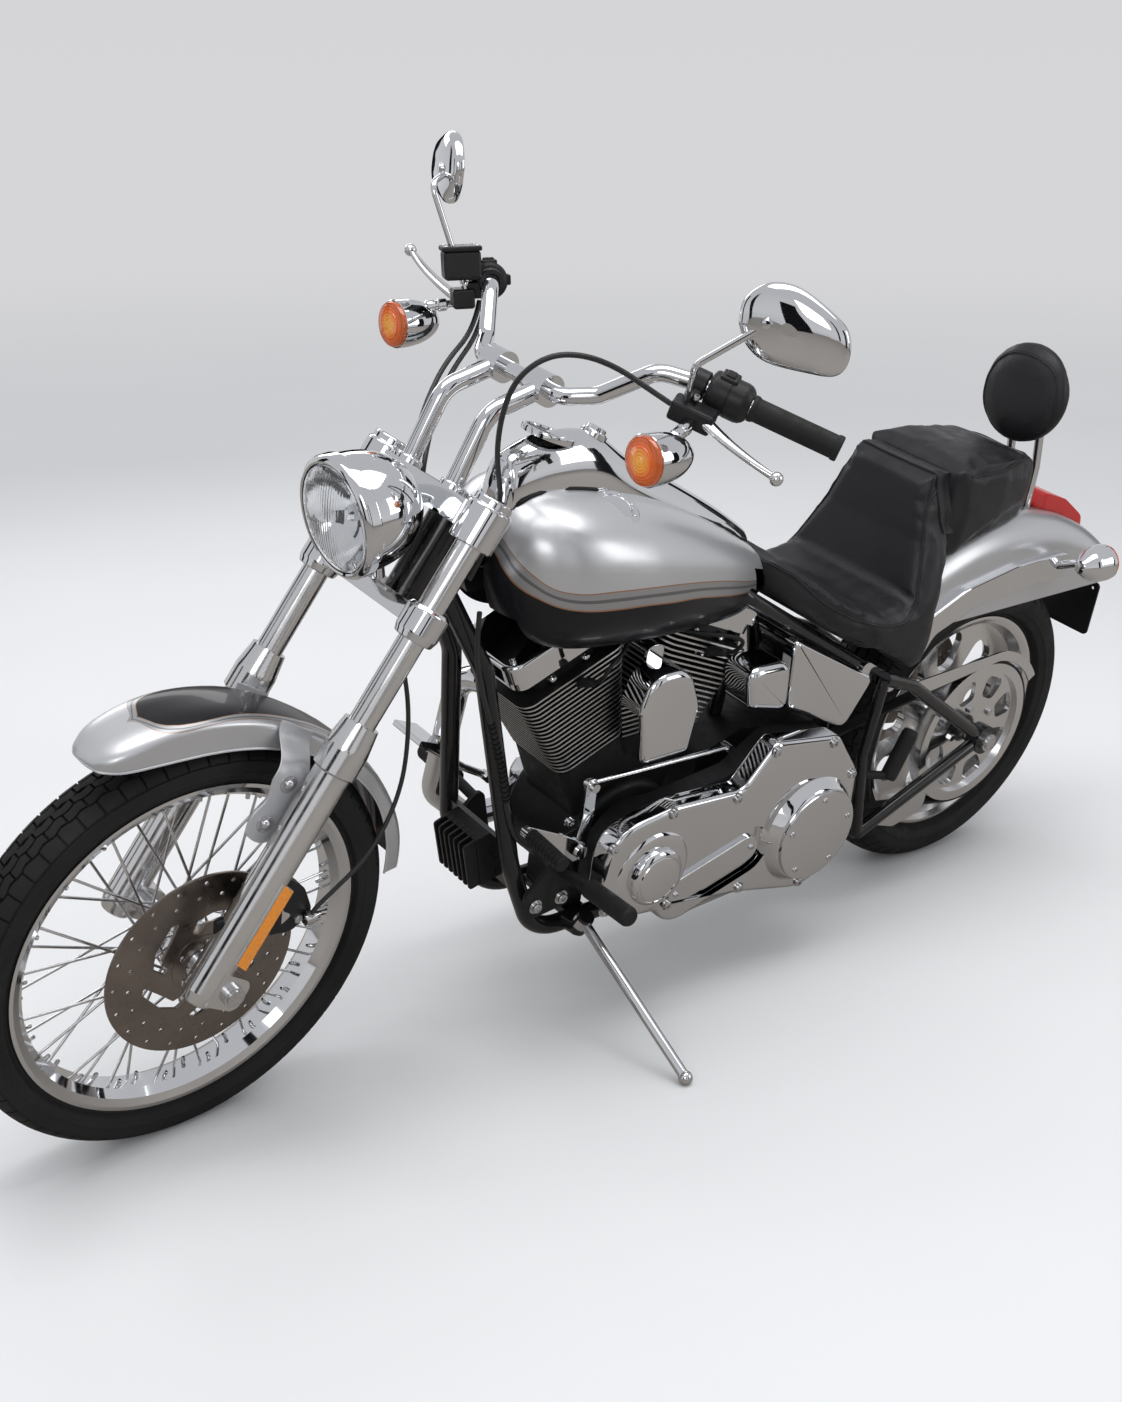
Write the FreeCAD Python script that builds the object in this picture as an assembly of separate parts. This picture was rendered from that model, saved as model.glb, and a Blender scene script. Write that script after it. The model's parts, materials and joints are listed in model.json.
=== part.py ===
import FreeCAD, Part
import math
import os

# Cruiser motorcycle with raked fork, parked on its side stand.
# Millimetres. The machine is drawn upright: +X forward, +Y to its left, +Z up, rear axle above X = 0.
# At the end it is steered, leaned onto its stand and set down with its middle above the origin.

V = FreeCAD.Vector

# Stance
WHEELBASE = 1692.0
REAR_AXLE_Z = 320.0
RAKE = 32.5
FORK_LEAD = 30.0          # fork tubes ahead of the front axle
FORK_HALF = 122.0         # fork tube from the centre plane
STEM_BACK = 58.0          # steering axis behind the fork tubes
LEAN = 10.75              # onto the side stand
STEER = 3.0               # bars as they rest on a parked machine
ORIGIN_X = 812.0
ORIGIN_Y = 225.0

# Wheels and tyres
FRONT_TYRE_R = 342.0
FRONT_TYRE_W = 90.0
FRONT_RIM_R = 281.0
FRONT_RIM_HALF = 30.0
REAR_TYRE_R = 320.0
REAR_TYRE_W = 161.0
REAR_RIM_R = 234.0
REAR_RIM_HALF = 56.0
BEAD_DEPTH = 13.0
RIM_WALL = 4.0
SPOKES = 40
SPOKE_R = 2.2
SPOKE_LEAN = 58.0         # degrees round the hub between a spoke's two ends
HUB_FLANGE_R = 42.0
HUB_FLANGE_Y = 31.0
FRONT_HUB_HALF = 66.0
REAR_HUB_HALF = 68.0
AXLE_R = 12.5
RUNNING_GAP = 0.06
SIDE_GAP = 0.3
DISC_R = 153.0
DISC_T = 5.0
FRONT_DISC_Y = 62.0
REAR_DISC_Y = -78.0
REAR_SLOTS = 8

# Belt drive
PULLEY_R = 154.0
PULLEY_Y = 98.0
PULLEY_W = 26.0
BELT_T = 5.0
BELT_W = 24.0
BELT_GAP = 0.3
DRIVE_X = 480.0
DRIVE_Z = 335.0
DRIVE_PULLEY_R = 70.0

# Fork
TUBE_R = 20.5
SLIDER_R = 28.0
SLIDER_TOP = 433.0
COVER_R = 33.0
COVER_LOW = 352.0
LOWER_CLAMP_Z = 601.0
UPPER_CLAMP_Z = 759.0
CLAMP_R = 34.0
YOKE_WALL = 34.0          # from the stem's axis to the back of a yoke
HEAD_TUBE_R = 30.0
STEM_R = 17.0
BAR_R = 12.7
RISER_HALF = 52.0

# Engine
CRANK_X = 908.0
CRANK_Z = 325.0
CYLINDER_ANGLE = 22.5
FIN_LOW = 203.0
FIN_TOP = 318.0
FIN_PITCH = 9.5
FIN_T = 3.2
AIR_R = 80.0
HEAD_TOP = 402.0
ROCKER_TOP = 456.0
CASE_HALF = 92.0
PRIMARY_IN = 112.0
PRIMARY_SPLIT = 150.0
PRIMARY_FACE = 195.0

# Frame
FRAME_TUBE_R = 16.0
RAIL_R = 14.0
BACKBONE_R = 22.0
CRADLE_Z = 180.0
CRADLE_Y = 74.0

# Side stand
STAND_PIVOT = V(1005.0, 128.0, 214.0)
STAND_FOOT = V(1001.0, 432.0, 80.8)
STAND_FOLDED = V(-1.0, 0.1, -0.1)
STAND_LOCK = 0.025
STAND_PIN_R = 8.0


def unit(vector):
    return V(vector).normalize()


def fillet_edges(points, radii, closed):
    """Straight runs joined by tangent arcs, through corner points in space."""
    count = len(points)
    joins = []
    for index, here in enumerate(points):
        inner = closed or 0 < index < count - 1
        radius = radii[index]
        if not inner or radius <= 0:
            joins.append((here, None, here))
            continue
        to_last = unit(points[index - 1] - here)
        to_next = unit(points[(index + 1) % count] - here)
        half = to_last.getAngle(to_next) / 2
        reach = radius / math.tan(half)
        middle = here + unit(to_last + to_next) * (radius / math.sin(half) - radius)
        joins.append((here + to_last * reach, middle, here + to_next * reach))
    edges = []
    for index, (start, middle, end) in enumerate(joins):
        if middle is not None:
            edges.append(Part.Arc(start, middle, end).toShape())
        if index < count - 1 or closed:
            following = joins[(index + 1) % count][0]
            if (following - end).Length > 1e-6:
                edges.append(Part.LineSegment(end, following).toShape())
    return edges


def corner_radii(points):
    return [point[2] if len(point) > 2 else 0.0 for point in points]


def flat_face(points, place):
    """A face from corners (u, v, corner radius), each put in space by place(u, v)."""
    corners = [place(point[0], point[1]) for point in points]
    return Part.Face(Part.Wire(fillet_edges(corners, corner_radii(points), True)))


def side_plate(points, y_from, y_to):
    """A plate cut from the side view: corners are (x, z, corner radius)."""
    face = flat_face(points, lambda u, v: V(u, y_from, v))
    return face.extrude(V(0, y_to - y_from, 0))


def top_plate(points, z_from, z_to):
    """A plate cut from the plan: corners are (x, y, corner radius)."""
    face = flat_face(points, lambda u, v: V(u, v, z_from))
    return face.extrude(V(0, 0, z_to - z_from))


def front_plate(points, x_from, x_to):
    """A plate cut from the front view: corners are (y, z, corner radius)."""
    face = flat_face(points, lambda u, v: V(x_from, u, v))
    return face.extrude(V(x_to - x_from, 0, 0))


def box_corners(low_u, high_u, low_v, high_v, radius):
    return [(low_u, low_v, radius), (high_u, low_v, radius), (high_u, high_v, radius), (low_u, high_v, radius)]


def tube(points, radius, bend):
    """A round bar along corner points, each corner bent to the radius bend."""
    bends = [bend] * len(points)
    path = Part.Wire(fillet_edges([V(point) for point in points], bends, False))
    first = unit(V(points[1]) - V(points[0]))
    section = Part.Wire(Part.Circle(V(points[0]), first, radius).toShape())
    swept = path.makePipeShell([section], True, False)
    return swept if swept.Volume > 0 else swept.reversed()


def aim(shape, origin, direction):
    """Move a shape drawn about +Z so that its axis leaves origin along direction."""
    turn = FreeCAD.Rotation(V(0, 0, 1), unit(direction))
    shape.Placement = FreeCAD.Placement(V(origin), turn).multiply(shape.Placement)
    return shape


def rod(start, end, radius):
    start, end = V(start), V(end)
    return aim(Part.makeCylinder(radius, (end - start).Length), start, end - start)


def spin(points, origin=(0, 0, 0), direction=(0, 0, 1)):
    """A turned solid: corners are (radius, height, corner radius) about an axis."""
    face = flat_face(points, lambda u, v: V(u, 0, v))
    solid = face.revolve(V(0, 0, 0), V(0, 0, 1), 360)
    return aim(solid, origin, direction)


def ball(centre, radius):
    return Part.makeSphere(radius, V(centre))


def join(shapes):
    """Fuse pieces that are made as one and drop the seams between them."""
    first, rest = shapes[0], shapes[1:]
    return first.fuse(rest).removeSplitter() if rest else first


def cut(shape, tools):
    return shape.cut(tools).removeSplitter()


def both_sides(shape):
    """The shape and its mirror image across the centre plane."""
    return [shape, shape.mirror(V(0, 0, 0), V(0, 1, 0))]


def smooth_ring(points):
    """A closed smooth outline through points."""
    curve = Part.BSplineCurve()
    curve.interpolate(Points=points, PeriodicFlag=True)
    return Part.Wire(curve.toShape())


def oval(power, count):
    """Unit points round a squared oval."""
    points = []
    for step in range(count):
        turn = 2 * math.pi * (step + 0.5) / count
        across, up = math.cos(turn), math.sin(turn)
        points.append((math.copysign(abs(across) ** (2 / power), across),
                       math.copysign(abs(up) ** (2 / power), up)))
    return points


def edges_at(shape, test):
    return [edge for edge in shape.Edges if test(edge)]


def soften(shape, radius, test):
    """Round the edges that test picks."""
    picked = edges_at(shape, test)
    return shape.makeFillet(radius, picked) if picked else shape


# Fork frame: +Z up the fork tubes, +X square to them and forward, origin on the front axle.
FORK_TURN = FreeCAD.Rotation(V(0, 1, 0), -RAKE)


def tyre_profile(outer_r, width, rim_r, rim_half):
    """Corners of half a tyre section, (radius, y, corner radius)."""
    half = width / 2
    shoulder = outer_r - 0.16 * width
    return [(rim_r - BEAD_DEPTH, -rim_half + 3), (rim_r, -rim_half), (rim_r + 10, -half * 0.93),
            (shoulder, -half, 0.2 * width), (outer_r, 0), (shoulder, half, 0.2 * width),
            (rim_r + 10, half * 0.93), (rim_r, rim_half), (rim_r - BEAD_DEPTH, rim_half - 3)]


def tyre(outer_r, width, rim_r, rim_half):
    """A tyre with a round crown, seated between its rim flanges."""
    half = width / 2
    side_r = outer_r - 0.22 * width
    bead_r = rim_r - BEAD_DEPTH
    place = [V(bead_r, 0, -rim_half + 3), V(rim_r, 0, -rim_half), V(side_r, 0, -half)]
    mirror = [V(point.x, 0, -point.z) for point in place]
    crown = V(outer_r, 0, 0)
    bulge_r = (rim_r + side_r) / 2
    bulge = half * 0.97
    edges = [Part.LineSegment(place[0], place[1]).toShape(),
             Part.Arc(place[1], V(bulge_r, 0, -bulge), place[2]).toShape(),
             Part.Arc(place[2], V(outer_r - 0.045 * width, 0, -half * 0.62), crown).toShape(),
             Part.Arc(crown, V(outer_r - 0.045 * width, 0, half * 0.62), mirror[2]).toShape(),
             Part.Arc(mirror[2], V(bulge_r, 0, bulge), mirror[1]).toShape(),
             Part.LineSegment(mirror[1], mirror[0]).toShape(),
             Part.LineSegment(mirror[0], place[0]).toShape()]
    face = Part.Face(Part.Wire(edges))
    solid = face.revolve(V(0, 0, 0), V(0, 0, 1), 360)
    return aim(solid, (0, 0, 0), (0, 1, 0))


def tread_points(outer_r, width):
    """Points across the crown of a tyre, as (radius, y)."""
    half = width / 2
    edges = [Part.Arc(V(outer_r - 0.22 * width, 0, -half), V(outer_r - 0.045 * width, 0, -half * 0.62),
                      V(outer_r, 0, 0)).toShape(),
             Part.Arc(V(outer_r, 0, 0), V(outer_r - 0.045 * width, 0, half * 0.62),
                      V(outer_r - 0.22 * width, 0, half)).toShape()]
    return [(point.x, point.z) for edge in edges for point in edge.discretize(400)]


def reach_down(tread, axle_direction):
    """How far below its axle a tyre reaches, for a given direction of the axle."""
    tilt = abs(axle_direction.z)
    upright = math.sqrt(1 - tilt * tilt)
    return max(radius * upright + across * tilt for radius, across in tread)


LEAN_TURN = FreeCAD.Rotation(V(1, 0, 0), -LEAN)
FORK_UP = FORK_TURN.multVec(V(0, 0, 1))
STEER_TURN = FreeCAD.Rotation(FORK_UP, STEER)
STEM_X = FORK_LEAD - STEM_BACK


def front_axle_height():
    """Axle height at which both tyres meet the floor once steered and leaned."""
    rear = reach_down(tread_points(REAR_TYRE_R, REAR_TYRE_W), LEAN_TURN.multVec(V(0, 1, 0)))
    steered = LEAN_TURN.multVec(STEER_TURN.multVec(V(0, 1, 0)))
    front = reach_down(tread_points(FRONT_TYRE_R, FRONT_TYRE_W), steered)
    to_axle = FORK_TURN.multVec(V(-STEM_X, 0, 0))
    swing = STEER_TURN.multVec(to_axle) - to_axle
    rear_axle = LEAN_TURN.multVec(V(0, 0, REAR_AXLE_Z)).z
    return (rear_axle - rear + front - LEAN_TURN.multVec(swing).z) / math.cos(math.radians(LEAN))


FRONT_AXLE = V(WHEELBASE, 0, front_axle_height())
FORK_PLACE = FreeCAD.Placement(FRONT_AXLE, FORK_TURN)
FLOOR_DROP = reach_down(tread_points(REAR_TYRE_R, REAR_TYRE_W), LEAN_TURN.multVec(V(0, 1, 0)))
FLOOR_DROP -= LEAN_TURN.multVec(V(0, 0, REAR_AXLE_Z)).z


def from_fork(point):
    """A point of the fork frame in the machine's frame."""
    return FORK_PLACE.multVec(V(point))


def to_fork(point):
    return FORK_PLACE.inverse().multVec(V(point))


def on_fork(shape):
    """A shape drawn in the fork frame, moved to the machine's frame."""
    shape = shape.copy()
    shape.Placement = FORK_PLACE.multiply(shape.Placement)
    return shape


# Wheels

def rim(rim_r, rim_half):
    """A channel rim with two flanges round a tyre seat."""
    bead_r = rim_r - BEAD_DEPTH
    outer = rim_half + RIM_WALL
    well_r = bead_r - 14
    well_half = rim_half * 0.52
    profile = [(rim_r, -outer), (rim_r, -rim_half), (bead_r, -rim_half + 3), (bead_r, rim_half - 3),
               (rim_r, rim_half), (rim_r, outer), (rim_r - 6, outer), (bead_r - 4, rim_half - 2),
               (well_r, well_half), (well_r, -well_half), (bead_r - 4, -rim_half + 2), (rim_r - 6, -outer)]
    return spin(profile, direction=(0, 1, 0))


def polar(radius, degrees, y):
    angle = math.radians(degrees)
    return V(radius * math.cos(angle), y, radius * math.sin(angle))


def front_wheel():
    """Wire wheel: turned hub with two spoke flanges, crossed spokes, channel rim."""
    hub = spin([(AXLE_R + RUNNING_GAP, -FRONT_HUB_HALF), (26, -FRONT_HUB_HALF), (26, -HUB_FLANGE_Y - 12),
                (HUB_FLANGE_R + 6, -HUB_FLANGE_Y - 4), (HUB_FLANGE_R + 6, -HUB_FLANGE_Y + 3),
                (24, -HUB_FLANGE_Y + 10), (24, HUB_FLANGE_Y - 10), (HUB_FLANGE_R + 6, HUB_FLANGE_Y - 3),
                (HUB_FLANGE_R + 6, HUB_FLANGE_Y + 4), (34, HUB_FLANGE_Y + 12), (34, FRONT_DISC_Y - DISC_T / 2),
                (26, FRONT_DISC_Y - DISC_T / 2), (26, FRONT_HUB_HALF), (AXLE_R + RUNNING_GAP, FRONT_HUB_HALF)],
               direction=(0, 1, 0))
    spokes = []
    rim_end = FRONT_RIM_R - BEAD_DEPTH - 8
    for index in range(SPOKES):
        side = 1 if index % 2 else -1
        lean = SPOKE_LEAN if index % 4 < 2 else -SPOKE_LEAN
        angle = 360.0 * index / SPOKES
        start = polar(HUB_FLANGE_R, angle + lean, side * HUB_FLANGE_Y)
        spokes.append(rod(start, polar(rim_end, angle, side * 6), SPOKE_R))
    return join([hub, rim(FRONT_RIM_R, FRONT_RIM_HALF)] + spokes)


def front_brake_disc():
    """Floating look disc on a five arm carrier bolted to the hub."""
    y_low = FRONT_DISC_Y - DISC_T / 2
    ring = spin([(92, y_low), (DISC_R, y_low), (DISC_R, y_low + DISC_T), (92, y_low + DISC_T)], direction=(0, 1, 0))
    hub = spin([(26.0, y_low), (50, y_low), (50, y_low + DISC_T), (26.0, y_low + DISC_T)], direction=(0, 1, 0))
    arms = []
    for index in range(5):
        arm = side_plate([(44, -9), (96, -17), (96, 15), (44, 9)], y_low, y_low + DISC_T)
        arms.append(arm.rotate(V(0, 0, 0), V(0, 1, 0), 72 * index))
    return join([ring, hub] + arms)


def oval_window(inner_r, outer_r, half_angle, y_from, y_to):
    """A rounded opening between two radii, ready to be cut from a disc."""
    points = [polar(inner_r, -half_angle, 0), polar(outer_r, -half_angle, 0),
              polar(outer_r, half_angle, 0), polar(inner_r, half_angle, 0)]
    corners = [(point.x, point.z, 0.28 * (outer_r - inner_r)) for point in points]
    return side_plate(corners, y_from, y_to)


def rear_wheel():
    """Cast disc wheel with oval slots, hub and channel rim."""
    web_r = REAR_RIM_R - BEAD_DEPTH - 10
    hub = spin([(AXLE_R + RUNNING_GAP, -REAR_HUB_HALF), (38, -REAR_HUB_HALF), (38, REAR_HUB_HALF),
                (AXLE_R + RUNNING_GAP, REAR_HUB_HALF)], direction=(0, 1, 0))
    web = spin([(30, -9), (web_r, -7), (web_r, 7), (30, 9)], direction=(0, 1, 0))
    slots = []
    for index in range(REAR_SLOTS):
        slot = oval_window(96, 184, 13, -20, 20)
        slots.append(slot.rotate(V(0, 0, 0), V(0, 1, 0), 360 / REAR_SLOTS * index))
    return join([hub, cut(web, slots), rim(REAR_RIM_R, REAR_RIM_HALF)])


def rear_pulley():
    """Toothed belt pulley with eight oval slots, bolted to the hub."""
    y_low = REAR_HUB_HALF
    plate_low = PULLEY_Y - 5
    boss = spin([(AXLE_R + RUNNING_GAP + 8, y_low), (44, y_low), (48, plate_low), (48, plate_low + 10),
                 (AXLE_R + RUNNING_GAP + 8, plate_low + 10)], direction=(0, 1, 0))
    plate = spin([(40, plate_low), (140, plate_low), (140, plate_low + 10), (40, plate_low + 10)],
                 direction=(0, 1, 0))
    band = spin([(134, PULLEY_Y - PULLEY_W / 2), (PULLEY_R, PULLEY_Y - PULLEY_W / 2),
                 (PULLEY_R, PULLEY_Y + PULLEY_W / 2), (134, PULLEY_Y + PULLEY_W / 2)], direction=(0, 1, 0))
    slots = []
    for index in range(REAR_SLOTS):
        slot = oval_window(78, 126, 14, plate_low - 5, plate_low + 15)
        slots.append(slot.rotate(V(0, 0, 0), V(0, 1, 0), 360 / REAR_SLOTS * (index + 0.5)))
    return join([boss, cut(plate, slots), band])


def rear_brake_disc():
    y_low = REAR_DISC_Y - DISC_T / 2
    profile = [(30, -REAR_HUB_HALF), (30, y_low + 2), (30, y_low), (DISC_R, y_low), (DISC_R, y_low + DISC_T),
               (52, y_low + DISC_T), (46, -REAR_HUB_HALF)]
    return spin(profile, direction=(0, 1, 0))


# Fork and steering, drawn in the fork frame

def fork_legs():
    """Polished sliders with covers over chrome tubes, axle lug at the foot."""
    pieces = []
    for side in (1, -1):
        y = side * FORK_HALF
        slider = spin([(0, -34), (SLIDER_R - 6, -34, 6), (SLIDER_R, -14, 6), (SLIDER_R, COVER_LOW),
                       (COVER_R, COVER_LOW + 4), (COVER_R, SLIDER_TOP - 40, 30), (SLIDER_R - 1, SLIDER_TOP),
                       (TUBE_R, SLIDER_TOP), (TUBE_R, UPPER_CLAMP_Z - 30), (0, UPPER_CLAMP_Z - 30)],
                      origin=(FORK_LEAD, y, 0))
        lug = side_plate([(-24, -26, 16), (FORK_LEAD + 4, -26), (FORK_LEAD + 4, 30), (-24, 26, 16)], y - SLIDER_R, y + SLIDER_R)
        bore = rod((0, y - 40, 0), (0, y + 40, 0), AXLE_R)
        pieces.append(cut(join([slider, lug]), [bore]))
    return Part.makeCompound(pieces)


def front_axle():
    """Axle through both sliders, with spacers beside the hub and a nut on each end."""
    end = FORK_HALF + 38
    axle = rod((0, -end, 0), (0, end, 0), AXLE_R)
    inner = FORK_HALF - SLIDER_R
    pieces = [axle]
    for side in (1, -1):
        pieces.append(rod((0, side * (FRONT_HUB_HALF + SIDE_GAP), 0), (0, side * inner, 0), AXLE_R + 5.5))
        pieces.append(rod((0, side * (FORK_HALF + 28), 0), (0, side * (FORK_HALF + 36), 0), AXLE_R + 4.5))
    return join(pieces)


def clamp_sleeve(y, low, high, radius):
    return spin([(TUBE_R, low), (radius - 4, low, 3), (radius, low + 12, 8), (radius, high - 6, 5),
                 (radius - 5, high, 3), (TUBE_R, high)], origin=(FORK_LEAD, y, 0))


def yoke_plan(half, front):
    """Plan of a yoke: wide at the tubes, narrow round the stem so that it swings clear of the tank."""
    back = STEM_X - YOKE_WALL
    left = [(front, half, 4), (FORK_LEAD - 22, half, 12), (back, YOKE_WALL + 14, 24)]
    right = [(x, -y, r) for x, y, r in reversed(left)]
    return left + right


def lower_clamp():
    """Bottom yoke with its stem, and a chrome sleeve round each tube."""
    low, high = LOWER_CLAMP_Z - 22, LOWER_CLAMP_Z + 22
    plate = top_plate(yoke_plan(FORK_HALF, FORK_LEAD + 22), LOWER_CLAMP_Z - 14, LOWER_CLAMP_Z + 14)
    holes = [rod((FORK_LEAD, side * FORK_HALF, low - 60), (FORK_LEAD, side * FORK_HALF, high + 60), TUBE_R)
             for side in (1, -1)]
    stem = rod((STEM_X, 0, LOWER_CLAMP_Z), (STEM_X, 0, UPPER_CLAMP_Z - 19), STEM_R)
    sleeves = [clamp_sleeve(side * FORK_HALF, low - 8, high, CLAMP_R - 1) for side in (1, -1)]
    return join([cut(plate, holes), stem] + sleeves)


def upper_clamp():
    """Top yoke: chrome bridge with a sleeve and a cap over each tube."""
    low, high = UPPER_CLAMP_Z - 34, UPPER_CLAMP_Z + 26
    bridge = top_plate(yoke_plan(FORK_HALF - 24, FORK_LEAD + 26), UPPER_CLAMP_Z - 19, UPPER_CLAMP_Z + 19)
    pieces = [bridge]
    for side in (1, -1):
        y = side * FORK_HALF
        pieces.append(spin([(0, UPPER_CLAMP_Z - 30), (TUBE_R, UPPER_CLAMP_Z - 30), (TUBE_R, low), (CLAMP_R, low, 3),
                            (CLAMP_R, high, 6), (29, high + 2), (29, high + 13, 4), (0, high + 13)],
                           origin=(FORK_LEAD, y, 0)))
    pieces.append(spin([(0, UPPER_CLAMP_Z + 19), (22, UPPER_CLAMP_Z + 19), (22, UPPER_CLAMP_Z + 27, 4),
                        (0, UPPER_CLAMP_Z + 27)], origin=(STEM_X, 0, 0)))
    return join(pieces)


BAR_CLAMP = V(1166, 0, 1152)
RISER_BASE_X = 46.0


def riser_points(side):
    top = to_fork(BAR_CLAMP)
    base = UPPER_CLAMP_Z + 19
    return [(RISER_BASE_X, side * RISER_HALF, base + 4), (RISER_BASE_X + 14, side * RISER_HALF, base + 118),
            (top.x, side * RISER_HALF, top.z)]


def risers():
    """Two curved chrome posts, each with a split clamp round the bar."""
    top = to_fork(BAR_CLAMP)
    base = UPPER_CLAMP_Z + 19
    pieces = []
    for side in (1, -1):
        y = side * RISER_HALF
        post = tube(riser_points(side), 14, 52)
        foot = spin([(0, base), (20, base), (20, base + 10, 4), (0, base + 10)], origin=(RISER_BASE_X, y, 0))
        clamp = rod((top.x, y - 19, top.z), (top.x, y + 19, top.z), 24)
        bore = rod((top.x, y - 40, top.z), (top.x, y + 40, top.z), BAR_R)
        pieces.append(cut(join([post, foot, clamp]), [bore]))
    return Part.makeCompound(pieces)


BAR_SWEEP = [(1166, 92, 1152), (1130, 128, 1162), (1082, 190, 1214), (1046, 232, 1208), (930, 412, 1160)]
GRIP_FROM = 300.0
GRIP_TO = 410.0


def bar_point(y):
    """A point of the bar's outer straight run at a distance from the centre plane."""
    inner, outer = V(*BAR_SWEEP[-2]), V(*BAR_SWEEP[-1])
    return inner + (outer - inner) * ((y - inner.y) / (outer.y - inner.y))


def mirror_y(point, side):
    return V(point[0], side * point[1], point[2])


def handlebar():
    """One bent chrome tube, swept back at the ends."""
    left = [V(*point) for point in BAR_SWEEP]
    left[-1] = bar_point(GRIP_TO - 4)
    right = [mirror_y(point, -1) for point in reversed(left)]
    return tube(right + left, BAR_R, 42)


def grips():
    """Rubber grips, a sliding fit on the bar ends."""
    pieces = []
    for side in (1, -1):
        start, end = mirror_y(bar_point(GRIP_FROM), side), mirror_y(bar_point(GRIP_TO - 4), side)
        length = (end - start).Length
        pieces.append(spin([(BAR_R, 0), (19, 0), (19, 5), (17, 9), (17, length - 4), (18.5, length - 2),
                            (18.5, length + 6, 3), (0, length + 6), (0, length), (BAR_R, length)],
                           origin=start, direction=end - start))
    return Part.makeCompound(pieces)


def hand_controls():
    """Switch housings beside the grips, and the clamps that hold levers and mirrors."""
    pieces = []
    for side in (1, -1):
        housing_in, housing_out = mirror_y(bar_point(GRIP_FROM - 34), side), mirror_y(bar_point(GRIP_FROM - 1), side)
        axis = unit(housing_out - housing_in)
        length = (housing_out - housing_in).Length
        housing = spin([(BAR_R, 0), (21, 0, 3), (25, 6), (25, length - 4, 3), (BAR_R, length)],
                       origin=housing_in, direction=axis)
        forward = V(1, 0, 0) - axis * axis.x
        forward.normalize()
        perch_in = housing_in - axis * 30
        perch = spin([(BAR_R, 0), (20, 0, 3), (20, 28, 3), (BAR_R, 28)], origin=perch_in, direction=axis)
        block_end = perch_in + axis * 14 + forward * 46
        block = rod(perch_in + axis * 14 + forward * 17, block_end, 13)
        parts = [perch, block]
        if side < 0:
            cup = Part.makeBox(52, 60, 34, V(0, 0, 0))
            cup = soften(cup, 6, lambda edge: True)
            middle = perch_in + forward * 40 + V(0, 0, 26)
            cup.translate(middle - V(26, 30, 17))
            parts.append(cup)
        pieces += [housing, join(parts)]
    return Part.makeCompound(pieces)


LEVER_BALL = {1: (1040, 400, 1130), -1: (1082, -400, 1212)}


def perch_front(side):
    inner = mirror_y(bar_point(GRIP_FROM - 34), side)
    axis = unit(mirror_y(bar_point(GRIP_FROM), side) - inner)
    forward = V(1, 0, 0) - axis * axis.x
    forward.normalize()
    return inner - axis * 16 + forward * 46, axis


def levers():
    """Polished levers with a ball at the end, one before each grip."""
    pieces = []
    for side in (1, -1):
        start, axis = perch_front(side)
        end = V(*LEVER_BALL[side])
        bend = start + axis * 40 + V(14, 0, 0)
        blade = tube([start, bend, end], 6, 30)
        pieces.append(join([blade, ball(end, 10)]))
    return Part.makeCompound(pieces)


MIRROR_JOINT = (1062, 350, 1330)
STEM_BEND = (1112, 306, 1318)
MIRROR_TURN = 25.0


def mirrors():
    """Teardrop mirrors on bent stems."""
    pieces = []
    for side in (1, -1):
        start, axis = perch_front(side)
        start = start - V(14, 0, -10)
        joint = mirror_y(MIRROR_JOINT, side)
        stem = tube([start, start + V(0, side * 6, 50), mirror_y(STEM_BEND, side), joint], 5, 14)
        shell = front_plate([(-62, -22, 18), (-10, -46, 40), (78, -48, 40), (100, 6, 34), (84, 50, 34), (-30, 44, 44)],
                            -9, 9)
        shell = soften(shell, 7, lambda edge: edge.BoundBox.XMin > 8)
        if side < 0:
            shell = shell.mirror(V(0, 0, 0), V(0, 1, 0))
        shell.Placement = FreeCAD.Placement(joint + V(-4, 0, 4), FreeCAD.Rotation(V(0, 0, 1), side * MIRROR_TURN))
        pieces.append(join([stem, shell]))
    return Part.makeCompound(pieces)


LAMP_FRONT = V(1473, 0, 980)
LAMP_DIP = 6.6
LAMP_R = 90.0


def lamp_axis():
    return FreeCAD.Rotation(V(0, 1, 0), LAMP_DIP).multVec(V(1, 0, 0))


def headlamp():
    """Chrome bullet shell with a bezel ring, on a bracket from the lower clamp."""
    axis = lamp_axis()
    shell = spin([(0, -128), (30, -124, 20), (64, -96, 50), (LAMP_R - 5, -50, 60), (LAMP_R, -34, 4), (LAMP_R, -14, 8),
                  (82, 0, 3), (78, -2), (74, -10), (0, -10)], origin=LAMP_FRONT, direction=axis)
    post_top = LAMP_FRONT - axis * 70 - V(0, 0, 60)
    foot = from_fork((FORK_LEAD + 8, 0, LOWER_CLAMP_Z + 14))
    post = rod(foot, post_top, 15)
    return join([shell, post])


def headlamp_lens():
    axis = lamp_axis()
    return spin([(0, -9.7), (73.5, -9.7), (77, -2.5), (76, 1), (40, 9), (0, 12)], origin=LAMP_FRONT, direction=axis)


SIGNAL_FRONT = (1182, 290, 1135)


def front_signals():
    """Bullet lamps hung below the lever clamps."""
    pieces = []
    for side in (1, -1):
        face = mirror_y(SIGNAL_FRONT, side)
        shell = spin([(0, -78), (12, -76, 8), (30, -46, 30), (36, -14, 20), (36, 0, 3), (0, 0)],
                     origin=face, direction=(1, 0, 0))
        lens = spin([(0, 0), (34, 0), (34, 5, 3), (22, 10, 8), (0, 11)], origin=face, direction=(1, 0, 0))
        start, axis = perch_front(side)
        post = tube([start - V(10, 0, 10), start - V(10, 0, 40), face + V(-34, 0, 20)], 7, 10)
        pieces.append(join([shell, lens, post]))
    return Part.makeCompound(pieces)


FENDER_R = 385.0
FENDER_HALF = 58.0
FENDER_T = 2.5
FENDER_FROM = 72.0
FENDER_TO = 172.0


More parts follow.
